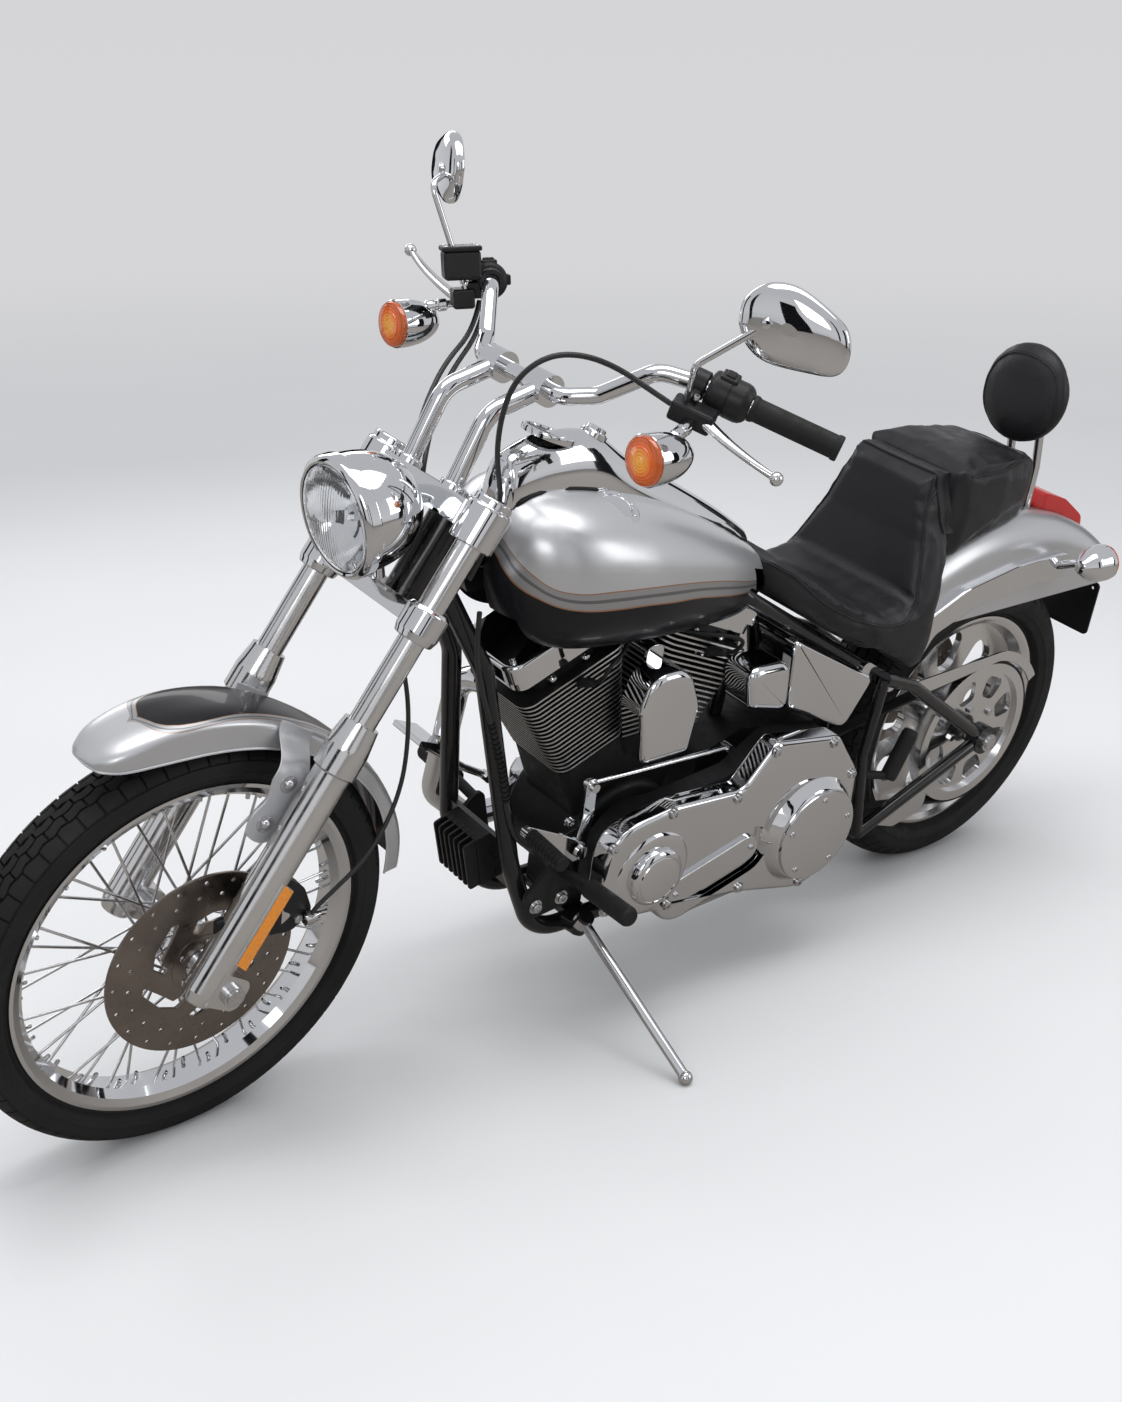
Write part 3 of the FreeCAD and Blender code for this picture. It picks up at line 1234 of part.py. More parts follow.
def rear_caliper():
    body = side_plate([(100, 250, 12), (160, 280, 12), (140, 350, 12), (80, 330, 12)], -ARM_Y + 16, REAR_DISC_Y + 20)
    gap = rod((0, REAR_DISC_Y - DISC_T / 2 - 2, REAR_AXLE_Z), (0, REAR_DISC_Y + DISC_T / 2 + 2, REAR_AXLE_Z), DISC_R + 3)
    return cut(body, [gap])


# Side stand

def stand_axis():
    """Square to the leg both down and folded back, tipped a little so that load locks the leg."""
    down = unit(STAND_FOOT - STAND_PIVOT)
    return unit(unit(down.cross(STAND_FOLDED)) + V(-STAND_LOCK, 0, 0))


def side_stand():
    """Chrome leg with a curled foot, on a pin through the frame lug."""
    axis = stand_axis()
    down = unit(STAND_FOOT - STAND_PIVOT)
    length = (STAND_FOOT - STAND_PIVOT).Length
    eye = rod(STAND_PIVOT - axis * 9, STAND_PIVOT + axis * 9, 16)
    leg = rod(STAND_PIVOT + down * 10, STAND_PIVOT + down * (length - 12), 9)
    pad = ball(STAND_FOOT - down * 14, 12)
    bore = rod(STAND_PIVOT - axis * 30, STAND_PIVOT + axis * 30, STAND_PIN_R + RUNNING_GAP)
    return cut(join([eye, leg, pad]), [bore])


def stand_bracket():
    """Lug and pin that carry the stand, fixed to the cradle."""
    axis = stand_axis()
    pin = rod(STAND_PIVOT - axis * 13, STAND_PIVOT + axis * 13, STAND_PIN_R)
    cheeks = [rod(STAND_PIVOT + axis * near, STAND_PIVOT + axis * far, 15) for near, far in ((9.3, 15), (-24, -9.3))]
    lug = rod((STAND_PIVOT.x, CRADLE_Y, CRADLE_Z + 4), STAND_PIVOT - axis * 24, 12)
    tube_room = tube(DOWN_PATH, FRAME_TUBE_R, 90)
    return cut(join([pin, lug] + cheeks), [tube_room])


def several(*makers):
    """One node of separate solids that belong together."""
    return Part.makeCompound([maker() for maker in makers])


def wheel_part(shape, axle):
    shape.translate(V(axle))
    return shape


REAR_AXLE = V(0, 0, REAR_AXLE_Z)

CHASSIS = {
    "frame": frame,
    "engine_case": engine_case,
    "front_cylinder": lambda: cylinder(1),
    "rear_cylinder": lambda: cylinder(-1),
    "rocker_covers": lambda: Part.makeCompound([rocker_cover(1), rocker_cover(-1)]),
    "cam_cover": cam_cover,
    "primary_cover": primary_cover,
    "gearbox": lambda: several(gearbox, primary_case, drive_pulley),
    "horn_cover": horn_cover,
    "air_cleaner": lambda: several(intake, air_cleaner),
    "exhaust": exhaust,
    "oil_tank": oil_tank,
    "coil_cover": coil_cover,
    "swingarm": swingarm,
    "rear_axle": rear_axle,
    "belt": belt,
    "belt_guards": lambda: several(belt_guard, lower_belt_guard),
    "rear_fender": rear_fender,
    "fender_struts": lambda: several(fender_struts, seat_brackets),
    "rear_signals": rear_signals,
    "tail_lamp": tail_lamp,
    "plate_bracket": plate_bracket,
    "fuel_tank": fuel_tank,
    "tank_console": tank_console,
    "filler_cap": filler_cap,
    "rider_seat": rider_seat,
    "pillion_seat": pillion_seat,
    "backrest_pad": backrest_pad,
    "sissy_bar": sissy_bar,
    "foot_pegs": foot_pegs,
    "shift_linkage": shift_linkage,
    "brake_pedal": brake_pedal,
    "passenger_pegs": passenger_pegs,
    "regulator": regulator,
    "rear_caliper": rear_caliper,
}
STEERING = {
    "fork_legs": lambda: on_fork(fork_legs()),
    "front_axle": lambda: on_fork(front_axle()),
    "lower_clamp": lambda: on_fork(lower_clamp()),
    "upper_clamp": lambda: on_fork(upper_clamp()),
    "risers": lambda: on_fork(risers()),
    "front_caliper": lambda: on_fork(front_caliper()),
    "handlebar": handlebar,
    "grips": grips,
    "hand_controls": hand_controls,
    "levers": levers,
    "mirrors": mirrors,
    "headlamp": headlamp,
    "headlamp_lens": headlamp_lens,
    "front_signals": front_signals,
    "front_fender": front_fender,
}
FRONT_WHEEL = {
    "front_tyre": lambda: wheel_part(tyre(FRONT_TYRE_R, FRONT_TYRE_W, FRONT_RIM_R, FRONT_RIM_HALF), FRONT_AXLE),
    "front_wheel": lambda: wheel_part(front_wheel(), FRONT_AXLE),
    "front_brake_disc": lambda: wheel_part(front_brake_disc(), FRONT_AXLE),
}
REAR_WHEEL = {
    "rear_tyre": lambda: wheel_part(tyre(REAR_TYRE_R, REAR_TYRE_W, REAR_RIM_R, REAR_RIM_HALF), REAR_AXLE),
    "rear_wheel": lambda: wheel_part(rear_wheel(), REAR_AXLE),
    "rear_pulley": lambda: wheel_part(rear_pulley(), REAR_AXLE),
    "rear_brake_disc": lambda: wheel_part(rear_brake_disc(), REAR_AXLE),
}
STAND = {"side_stand": side_stand}

# The first of each pair is shaped to lie against the second.
FITTED = [
    ("exhaust", "front_cylinder"),
    ("exhaust", "rear_cylinder"),
    ("air_cleaner", "front_cylinder"),
    ("air_cleaner", "rear_cylinder"),
    ("front_caliper", "fork_legs"),
    ("front_fender", "fork_legs"),
    ("headlamp", "lower_clamp"),
    ("hand_controls", "handlebar"),
    ("levers", "hand_controls"),
    ("mirrors", "hand_controls"),
    ("front_signals", "hand_controls"),
    ("fender_struts", "swingarm"),
    ("fender_struts", "frame"),
    ("rear_signals", "fender_struts"),
    ("rider_seat", "fender_struts"),
    ("oil_tank", "frame"),
    ("passenger_pegs", "swingarm"),
]

PARKED = FreeCAD.Placement(V(-ORIGIN_X, -ORIGIN_Y, FLOOR_DROP), LEAN_TURN)
STEM_FOOT = from_fork((STEM_X, 0, 0))
STEERED = FreeCAD.Placement(V(0, 0, 0), STEER_TURN, STEM_FOOT)


def parked(point, steered=False):
    """A point of the upright machine where it ends up on the floor."""
    point = V(point)
    return PARKED.multVec(STEERED.multVec(point) if steered else point)


def parked_direction(direction, steered=False):
    direction = V(direction)
    return LEAN_TURN.multVec(STEER_TURN.multVec(direction) if steered else direction)


def build():
    """Every node of the upright machine, pieces that lie against others shaped to them."""
    shapes = {}
    for group in (CHASSIS, STAND, REAR_WHEEL, STEERING, FRONT_WHEEL):
        for name, make in group.items():
            shapes[name] = make()
    for name, against in FITTED:
        shapes[name] = shapes[name].cut(shapes[against])
    return shapes


if __name__ == "__main__":
    os.makedirs("parts", exist_ok=True)
    for name, shape in build().items():
        if name in STEERING or name in FRONT_WHEEL:
            shape.Placement = STEERED.multiply(shape.Placement)
        shape.Placement = PARKED.multiply(shape.Placement)
        shape.exportStep(f"parts/{name}.step")
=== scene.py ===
import json
import math

import bmesh
import bpy
from mathutils import Matrix, Vector
from mathutils.bvhtree import BVHTree


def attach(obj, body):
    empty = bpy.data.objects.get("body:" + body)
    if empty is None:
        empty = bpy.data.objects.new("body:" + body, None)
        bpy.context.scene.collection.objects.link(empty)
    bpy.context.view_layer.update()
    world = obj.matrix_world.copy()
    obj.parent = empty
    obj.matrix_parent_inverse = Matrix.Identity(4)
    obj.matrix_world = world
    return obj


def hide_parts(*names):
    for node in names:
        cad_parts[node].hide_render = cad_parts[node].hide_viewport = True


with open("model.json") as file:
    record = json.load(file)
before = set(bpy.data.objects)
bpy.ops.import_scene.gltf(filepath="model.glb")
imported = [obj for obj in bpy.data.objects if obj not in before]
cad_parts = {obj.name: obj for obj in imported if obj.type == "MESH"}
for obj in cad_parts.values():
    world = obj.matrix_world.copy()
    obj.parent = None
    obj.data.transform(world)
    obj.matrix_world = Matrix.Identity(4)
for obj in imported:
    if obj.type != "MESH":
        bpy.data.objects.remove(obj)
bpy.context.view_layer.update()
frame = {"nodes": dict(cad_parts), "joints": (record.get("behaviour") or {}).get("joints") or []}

# Camera
# The photographer stands to the front left with the lens a little above the bars, looking down on the tank.
# The lens is a short portrait one, so the front wheel comes out larger than the rear one.

EYE = Vector((1.84838, 1.98621, 1.53070))
LOOK_YAW, LOOK_PITCH = -128.1753, -19.6955
LENS = 44.23

camera = bpy.data.objects.new("camera", bpy.data.cameras.new("camera"))
bpy.context.scene.collection.objects.link(camera)
camera.location = EYE
camera.rotation_euler = (math.radians(90 + LOOK_PITCH), 0, math.radians(LOOK_YAW - 90))
camera.data.lens = LENS
bpy.context.scene.camera = camera
bpy.context.scene.view_settings.view_transform = "Standard"

# Floor, sky and lamps
# A painted studio floor fades into the pale wall all round. A broad soft box overhead, one beside the camera,
# one to the left and one behind light it, and dark cards out of the picture give the chrome its streaks.

FLOOR_RADIUS = 40.0
FLOOR_NEAR = (0.80, 0.805, 0.815)
WALL_LOW = (0.67, 0.67, 0.685)
WALL_HIGH = (0.58, 0.585, 0.61)
FADE_FROM, FADE_TO = 2.0, 14.0


def wire(tree, kind, sockets=(), **settings):
    """A node with its settings made and its sockets set to a value or joined to another socket."""
    made = tree.nodes.new(kind)
    for key, value in settings.items():
        setattr(made, key, value)
    for key, value in dict(sockets).items():
        if isinstance(value, bpy.types.NodeSocket):
            tree.links.new(value, made.inputs[key])
        else:
            made.inputs[key].default_value = value
    return made


def rgba(colour):
    """A colour with full cover."""
    return (*colour[:3], 1.0)


def ramp(tree, factor, *stops):
    """A colour ramp of (place, colour) stops."""
    made = wire(tree, "ShaderNodeValToRGB", {0: factor})
    elements = made.color_ramp.elements
    for index, (place, colour) in enumerate(stops):
        element = elements[index] if index < 2 else elements.new(place)
        element.position = place
        element.color = rgba(colour)
    return made.outputs[0]


def sum_of(tree, operation, *values):
    """One maths node."""
    return wire(tree, "ShaderNodeMath", enumerate(values), operation=operation).outputs[0]


def studio_world():
    """A pale wall for the camera, metal and glass, and a sky that is brighter overhead for the light."""
    world = bpy.data.worlds.new("studio")
    bpy.context.scene.world = world
    world.use_nodes = True
    tree = world.node_tree
    tree.nodes.clear()
    direction = wire(tree, "ShaderNodeNewGeometry").outputs["Position"]
    height = wire(tree, "ShaderNodeSeparateXYZ", {0: direction}).outputs["Z"]
    seen = ramp(tree, height, (0.0, WALL_LOW), (0.45, WALL_HIGH))
    lit = ramp(tree, height, (0.0, (0.30, 0.30, 0.31)), (0.16, (0.16, 0.165, 0.17)),
               (0.55, (0.62, 0.63, 0.65)), (1.0, (0.95, 0.96, 0.98)))
    path = wire(tree, "ShaderNodeLightPath").outputs
    shown = sum_of(tree, "MAXIMUM", path["Is Camera Ray"],
                   sum_of(tree, "MAXIMUM", path["Is Transmission Ray"], path["Is Glossy Ray"]))
    colour = wire(tree, "ShaderNodeMix", {0: shown, 6: lit, 7: seen}, data_type="RGBA").outputs[2]
    back = wire(tree, "ShaderNodeBackground", {"Color": colour, "Strength": 1.0})
    wire(tree, "ShaderNodeOutputWorld", {"Surface": back.outputs[0]})


def add_mesh(name, verts, faces, smooth=True):
    """A mesh object of the given points and faces."""
    mesh = bpy.data.meshes.new(name)
    mesh.from_pydata([tuple(v) for v in verts], [], faces)
    mesh.update()
    if smooth:
        mesh.polygons.foreach_set("use_smooth", [True] * len(mesh.polygons))
    made = bpy.data.objects.new(name, mesh)
    bpy.context.scene.collection.objects.link(made)
    return made


def circle_place(radius, share):
    """A place on a circle, at a share of its turn."""
    return radius * math.cos(math.tau * share), radius * math.sin(math.tau * share)


def studio_floor():
    """A round floor, painted near by and as bright as the wall far off."""
    around = 96
    rim = [(*circle_place(FLOOR_RADIUS, i / around), 0) for i in range(around)]
    floor = add_mesh("studio_floor", rim, [list(range(around))], smooth=False)
    material = bpy.data.materials.new("floor_paint")
    material.use_nodes = True
    tree = material.node_tree
    tree.nodes.clear()
    place = wire(tree, "ShaderNodeTexCoord").outputs["Object"]
    distance = wire(tree, "ShaderNodeVectorMath", {0: place}, operation="LENGTH").outputs["Value"]
    fade = wire(tree, "ShaderNodeMapRange", {0: distance, 1: FADE_FROM, 2: FADE_TO},
                interpolation_type="SMOOTHSTEP")
    grain = wire(tree, "ShaderNodeTexNoise", {"Vector": place, "Scale": 0.9, "Detail": 3.0}).outputs["Fac"]
    tone = ramp(tree, grain, (0.3, tuple(0.97 * c for c in FLOOR_NEAR)), (0.7, FLOOR_NEAR))
    painted = wire(tree, "ShaderNodeBsdfDiffuse", {"Color": tone})
    glow = wire(tree, "ShaderNodeEmission", {"Color": rgba(WALL_LOW), "Strength": 1.0})
    mixed = wire(tree, "ShaderNodeMixShader", {0: fade.outputs[0], 1: painted.outputs[0], 2: glow.outputs[0]})
    wire(tree, "ShaderNodeOutputMaterial", {"Surface": mixed.outputs[0]})
    floor.data.materials.append(material)


def card(name, corners, colour):
    """A dull panel that only metal and glass show."""
    made = add_mesh(name, corners, [tuple(range(len(corners)))], smooth=False)
    cloth = bpy.data.materials.new(name + "_cloth")
    cloth.use_nodes = True
    tree = cloth.node_tree
    tree.nodes.clear()
    dull = wire(tree, "ShaderNodeBsdfDiffuse", {"Color": rgba(colour)})
    wire(tree, "ShaderNodeOutputMaterial", {"Surface": dull.outputs[0]})
    made.data.materials.append(cloth)
    made.visible_camera = made.visible_diffuse = made.visible_shadow = False
    return made


def dark_card(name, turn, width, low, high):
    """A black panel upright at CARD_DISTANCE round the machine."""
    middle = Vector((math.cos(math.radians(turn)), math.sin(math.radians(turn)), 0))
    aside = Vector((-middle.y, middle.x, 0)) * width / 2
    corners = [middle * CARD_DISTANCE + side * aside + Vector((0, 0, height))
               for side, height in ((-1, low), (1, low), (1, high), (-1, high))]
    card(name, corners, CARD_BLACK)


CARD_DISTANCE, CARD_BLACK = 5.0, (0.012, 0.012, 0.014)
DARK_CARDS = ((96, 0.9, 0.0, 3.4), (62, 0.5, 0.3, 4.2), (20, 1.3, 0.0, 2.2), (-20, 0.6, 0.2, 3.6),
              (140, 1.0, 0.0, 2.6), (190, 1.2, 0.2, 3.2), (250, 1.4, 0.0, 3.0), (305, 0.9, 0.3, 3.8))
for number, (turn, width, low, high) in enumerate(DARK_CARDS):
    dark_card(f"dark_card_{number}", turn, width, low, high)

# A painted reflection: a disc just above the floor that only metal shows. It is a warmer, darker grey than
# the lit floor paint, so the chrome's lower half reflects a darker floor.
GROUND_R, GROUND_SIDES, GROUND_LIFT = 6.0, 48, 0.002
REFLECTED_FLOOR_GREY = (0.34, 0.315, 0.29)
ground_rim = [Vector((*circle_place(GROUND_R, i / GROUND_SIDES), GROUND_LIFT)) for i in range(GROUND_SIDES)]
ground = card("reflected_floor_card", ground_rim, REFLECTED_FLOOR_GREY)
ground.visible_transmission = False


def soft_box(name, place, target, size, power):
    """A soft lamp of a size in metres and a power in watts, turned to a target."""
    lamp = bpy.data.lights.new(name, "AREA")
    lamp.shape = "RECTANGLE"
    lamp.size, lamp.size_y = size
    lamp.energy = power
    made = bpy.data.objects.new(name, lamp)
    made.location = place
    made.rotation_euler = (Vector(target) - Vector(place)).to_track_quat("-Z", "Y").to_euler()
    bpy.context.scene.collection.objects.link(made)


studio_world()
studio_floor()
soft_box("overhead_box", (0.2, 0.4, 3.6), (0.0, 0.0, 0.4), (3.6, 1.6), 58)
soft_box("camera_box", (3.0, 2.6, 2.3), (0.2, 0.1, 0.6), (1.3, 1.3), 17)
soft_box("side_box", (-2.6, 3.2, 1.9), (-0.3, 0.1, 0.5), (1.1, 2.0), 22)
soft_box("far_box", (-0.6, -3.6, 2.6), (0.0, 0.0, 0.6), (3.0, 0.9), 28)

# Frame, swinging arm and small black steel
# The frame is welded steel tube with a hard black enamel that has a thin clear gloss. The regulator and the
# plate holder are the same enamel over castings and sheet. Bright screws hold the brackets on.

REAR_AXLE = (0, 320)
joints = {joint["name"]: joint for joint in frame["joints"]}


def standing(origin, forward, left, up):
    """The matrix that carries a place of the upright machine to where it stands."""
    matrix = Matrix((forward, left, up)).transposed().to_4x4()
    matrix.translation = origin
    return matrix


# The machine leans on its stand, so a place on it is written as forward, left and up from the floor under
# the rear axle of the upright machine, and carried from there.
left = Vector(joints["rear_wheel_spin"]["axis"]).normalized()
up = Vector((1, 0, 0)).cross(left).normalized()
rear_axle = Vector(joints["rear_wheel_spin"]["pos_m"])
machine = standing(rear_axle - REAR_AXLE[1] / 1000 * up, Vector((1, 0, 0)), left, up)


def on_machine(x, y, z):
    """A place of the upright machine, in millimetres, where it stands."""
    return machine @ (Vector((x, y, z)) / 1000)


def facing(frame_matrix, x, y, z):
    """A direction of the upright machine or of the fork where it stands."""
    return (frame_matrix.to_3x3() @ Vector((x, y, z))).normalized()


def surface(name, colour, roughness, metal=0.0, coat=0.0, mottle=(6.0, 0.08), grain=(400.0, 0.0), uneven=0.25,
            specular=0.5, layers=None):
    """A material: colour that drifts a little, roughness that varies with it, and a fine grain in relief."""
    material = bpy.data.materials.new(name)
    material.use_nodes = True
    tree = material.node_tree
    tree.nodes.clear()
    place = wire(tree, "ShaderNodeTexCoord").outputs["Object"]
    drift = wire(tree, "ShaderNodeTexNoise",
                 {"Vector": place, "Scale": mottle[0], "Detail": 4.0}).outputs["Fac"]
    dark = tuple(c * (1 - mottle[1]) for c in colour)
    light = tuple(min(1.0, c * (1 + mottle[1])) for c in colour)
    tone = ramp(tree, drift, (0.3, dark), (0.7, light))
    smudge = wire(tree, "ShaderNodeTexNoise",
                  {"Vector": place, "Scale": mottle[0] * 4, "Detail": 6.0}).outputs["Fac"]
    rough = wire(tree, "ShaderNodeMapRange", {0: smudge, 1: 0.3, 2: 0.7, 3: roughness * (1 - uneven),
                                              4: min(1.0, roughness * (1 + uneven))}).outputs[0]
    shader = wire(tree, "ShaderNodeBsdfPrincipled",
                  {"Base Color": tone, "Roughness": rough, "Metallic": metal, "Coat Weight": coat,
                   "Coat Roughness": 0.04, "Specular IOR Level": specular})
    if grain[1]:
        fine = wire(tree, "ShaderNodeTexNoise",
                    {"Vector": place, "Scale": grain[0], "Detail": 3.0}).outputs["Fac"]
        relief = wire(tree, "ShaderNodeBump",
                      {"Height": fine, "Strength": 1.0, "Distance": grain[1]}).outputs[0]
        tree.links.new(relief, shader.inputs["Normal"])
    if layers:
        layers(tree, place, shader, tone)
    wire(tree, "ShaderNodeOutputMaterial", {"Surface": shader.outputs[0]})
    return material


def dress(material, *names):
    """Gives CAD nodes a finish of their own."""
    for name in names:
        for slot in frame["nodes"][name].material_slots:
            slot.material = material


def turned(profile, sides):
    """Points and faces of a shape turned about Z from (radius, height) corners; a radius of 0 closes it."""
    points, faces, rings = [], [], []
    for radius, height in profile:
        if radius < 1e-9:
            rings.append([len(points)])
            points.append(Vector((0, 0, height)))
            continue
        rings.append(list(range(len(points), len(points) + sides)))
        points += [Vector((*circle_place(radius, i / sides), height)) for i in range(sides)]
    for low, high in zip(rings, rings[1:]):
        for i in range(sides):
            j = (i + 1) % sides
            quad = [low[i % len(low)], low[j % len(low)], high[j % len(high)], high[i % len(high)]]
            faces.append(list(dict.fromkeys(quad)))
    return points, faces


def stood(point, direction, twist=0.0):
    """The matrix that stands a turned shape at a point, along a direction."""
    turn = Vector(direction).to_track_quat("Z", "Y").to_matrix().to_4x4()
    return Matrix.Translation(point) @ turn @ Matrix.Rotation(twist, 4, "Z")


def joined(name, shapes, material, body, sharp=35.0, weighted=False):
    """One piece of several (points, faces, matrix), smooth but for its sharp edges, riding on a body."""
    points, faces = [], []
    for shape_points, shape_faces, matrix in shapes:
        faces += [[index + len(points) for index in face] for face in shape_faces]
        points += [matrix @ Vector(point) for point in shape_points]
    made = add_mesh(name, points, faces)
    mesh = made.data
    work = bmesh.new()
    work.from_mesh(mesh)
    bmesh.ops.recalc_face_normals(work, faces=work.faces)
    for edge in work.edges:
        if len(edge.link_faces) == 2:
            edge.smooth = edge.calc_face_angle() < math.radians(sharp)
    for face in work.faces:
        face.smooth = len(face.verts) < 5
    work.to_mesh(mesh)
    work.free()
    mesh.materials.append(material)
    if weighted:
        even = made.modifiers.new("even_shading", "WEIGHTED_NORMAL")
        even.keep_sharp = True
        even.weight = 90
    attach(made, body)
    return made


def mm(profile):
    """Corners in millimetres, in metres."""
    return [(radius / 1000, height / 1000) for radius, height in profile]


def screw_head(radius, height, kind):
    """A hexagon head, a domed cap or a socket head, in millimetres, standing on Z = 0."""
    r, h = radius, height
    if kind == "hex":
        return turned(mm([(r, 0), (r, h * 0.8), (r * 0.86, h), (0, h)]), 6)
    if kind == "dome":
        return turned(mm([(r, 0), (r, h * 0.25), (r * 0.9, h * 0.6), (r * 0.6, h * 0.9), (0, h)]), 20)
    return turned(mm([(r, 0), (r, h * 0.85), (r * 0.9, h), (r * 0.55, h), (r * 0.5, h * 0.4),
                      (0, h * 0.4)]), 18)


def screws(name, spots, radius, height, kind, material, body, washer=0.0):
    """Screw heads at (point, direction) pairs, each on a washer where one is asked for."""
    shapes = []
    for number, (point, direction) in enumerate(spots):
        matrix = stood(point, direction, 0.7 * number)
        lift = 0.0
        if washer:
            lift = 0.0015
            shapes.append((*turned([(washer / 1000, -0.001), (washer / 1000, lift), (0, lift)], 20), matrix))
        shapes.append((*screw_head(radius, height, kind), matrix @ Matrix.Translation((0, 0, lift))))
    return joined(name, shapes, material, body)


LEFT, RIGHT = facing(machine, 0, 1, 0), facing(machine, 0, -1, 0)
AHEAD, ABOVE = facing(machine, 1, 0, 0), facing(machine, 0, 0, 1)

black_enamel = surface("black_enamel", (0.009, 0.009, 0.010), 0.24, coat=0.5, mottle=(5.0, 0.2),
                       specular=0.25)
dress(black_enamel, "frame", "swingarm")
satin_black = surface("satin_black", (0.011, 0.011, 0.012), 0.40, mottle=(8.0, 0.2), grain=(900.0, 0.00005),
                      specular=0.3)
dress(satin_black, "plate_bracket", "regulator", "rear_caliper")
bright_steel = surface("bright_steel", (0.62, 0.62, 0.63), 0.2, metal=1.0, mottle=(30.0, 0.08))

PEG_BRACKET = ((1110, 275), (1057, 277))
screws("peg_bracket_screws", [(on_machine(x, 121, z), LEFT) for x, z in PEG_BRACKET], 9, 7, "socket",
       bright_steel, "chassis", washer=13)

# Engine
# Two iron cylinders stand in a vee on a cast case. Case and fins are sprayed with a wrinkled black, the fins'
# edges are machined bright, and the rocker boxes, cam cover and horn cover are chromed castings.

CYLINDER_TIP = 22.5
CRANK = (908, 325)
BARE_FROM, BARE_METAL = 0.0655, (0.62, 0.61, 0.60)


def bright_fins(tip):
    """Bare metal where a fin's outer edge faces away from its cylinder, tipped by some degrees."""
    def layers(tree, place, shader, tone):
        upright = machine @ Matrix.Translation((CRANK[0] / 1000, 0, CRANK[1] / 1000)) @ Matrix.Rotation(
            math.radians(tip), 4, "Y")
        turn = upright.to_euler()
        inside = wire(tree, "ShaderNodeMapping", {"Vector": place, "Location": upright.translation,
                                                  "Rotation": turn}, vector_type="TEXTURE").outputs[0]
        normal = wire(tree, "ShaderNodeTexCoord").outputs["Normal"]
        side = wire(tree, "ShaderNodeMapping", {"Vector": normal, "Rotation": turn},
                    vector_type="TEXTURE").outputs[0]
        along = sum_of(tree, "ABSOLUTE", wire(tree, "ShaderNodeSeparateXYZ", {0: side}).outputs["Z"])
        away = wire(tree, "ShaderNodeSeparateXYZ", {0: inside}).outputs
        x_out = sum_of(tree, "GREATER_THAN", sum_of(tree, "ABSOLUTE", away["X"]), BARE_FROM)
        y_out = sum_of(tree, "GREATER_THAN", sum_of(tree, "ABSOLUTE", away["Y"]), BARE_FROM)
        edge = sum_of(tree, "LESS_THAN", along, 0.3)
        bare = sum_of(tree, "MULTIPLY", edge, sum_of(tree, "MAXIMUM", x_out, y_out))
        colour = wire(tree, "ShaderNodeMix", {0: bare, 6: tone, 7: rgba(BARE_METAL)},
                      data_type="RGBA").outputs[2]
        tree.links.new(colour, shader.inputs["Base Color"])
        tree.links.new(bare, shader.inputs["Metallic"])
    return layers


wrinkle_black = surface("wrinkle_black", (0.010, 0.010, 0.011), 0.5, mottle=(14.0, 0.25),
                        grain=(1200.0, 0.00012), specular=0.25)
dress(wrinkle_black, "engine_case", "gearbox")
for node, tip in (("front_cylinder", CYLINDER_TIP), ("rear_cylinder", -CYLINDER_TIP)):
    dress(surface(node + "_black", (0.010, 0.010, 0.011), 0.45, mottle=(14.0, 0.25), grain=(1200.0, 0.0001),
                  specular=0.25, layers=bright_fins(tip)), node)
chrome = surface("chrome", (0.72, 0.73, 0.745), 0.05, metal=1.0, mottle=(4.0, 0.03), uneven=0.5)
dress(chrome, "rocker_covers", "cam_cover", "air_cleaner", "exhaust")


def on_cylinder(tip, x, y, height):
    """A place of a cylinder: along its side, left, and up from the crank, in millimetres."""
    angle = math.radians(tip)
    return on_machine(CRANK[0] + x * math.cos(angle) + height * math.sin(angle), y,
                      CRANK[1] - x * math.sin(angle) + height * math.cos(angle))


rocker_spots, head_spots = [], []
for tip in (CYLINDER_TIP, -CYLINDER_TIP):
    along_cylinder = (on_cylinder(tip, 0, 0, 100) - on_cylinder(tip, 0, 0, 0)).normalized()
    for x in (-88, 88):
        for y in (-58, 58):
            rocker_spots.append((on_cylinder(tip, x, y, 456), along_cylinder))
    for x in (-34, 34):
        head_spots.append((on_cylinder(tip, x, 60, 386), LEFT))
screws("rocker_screws", rocker_spots, 6, 5, "socket", bright_steel, "chassis")
screws("head_nuts", head_spots, 9, 12, "dome", chrome, "chassis")

# A spark plug sticks out of the left of each head, with a black rubber boot and a lead up to under the tank.
def plug_line(tip):
    """Where the plug of a cylinder starts, and the way it points."""
    foot = on_cylinder(tip, 0, 59, 352)
    return foot, (on_cylinder(tip, -10, 108, 372) - foot).normalized()


plug_shapes, boot_shapes = [], []
for tip in (CYLINDER_TIP, -CYLINDER_TIP):
    foot, along = plug_line(tip)
    plug_shapes.append((*turned(mm([(13, 0), (13, 6), (10, 7), (10, 14), (6, 15), (6, 24)]), 20),
                        stood(foot, along)))
    boot_shapes.append((*turned(mm([(9, 20), (9.5, 26), (8, 30), (8, 52), (6, 58), (4, 60), (0, 60)]), 18),
                        stood(foot, along)))
joined("spark_plugs", plug_shapes, bright_steel, "chassis")
rubber_black = surface("rubber_black", (0.010, 0.010, 0.010), 0.5, mottle=(12.0, 0.2), grain=(900.0, 0.00005),
                       specular=0.25)


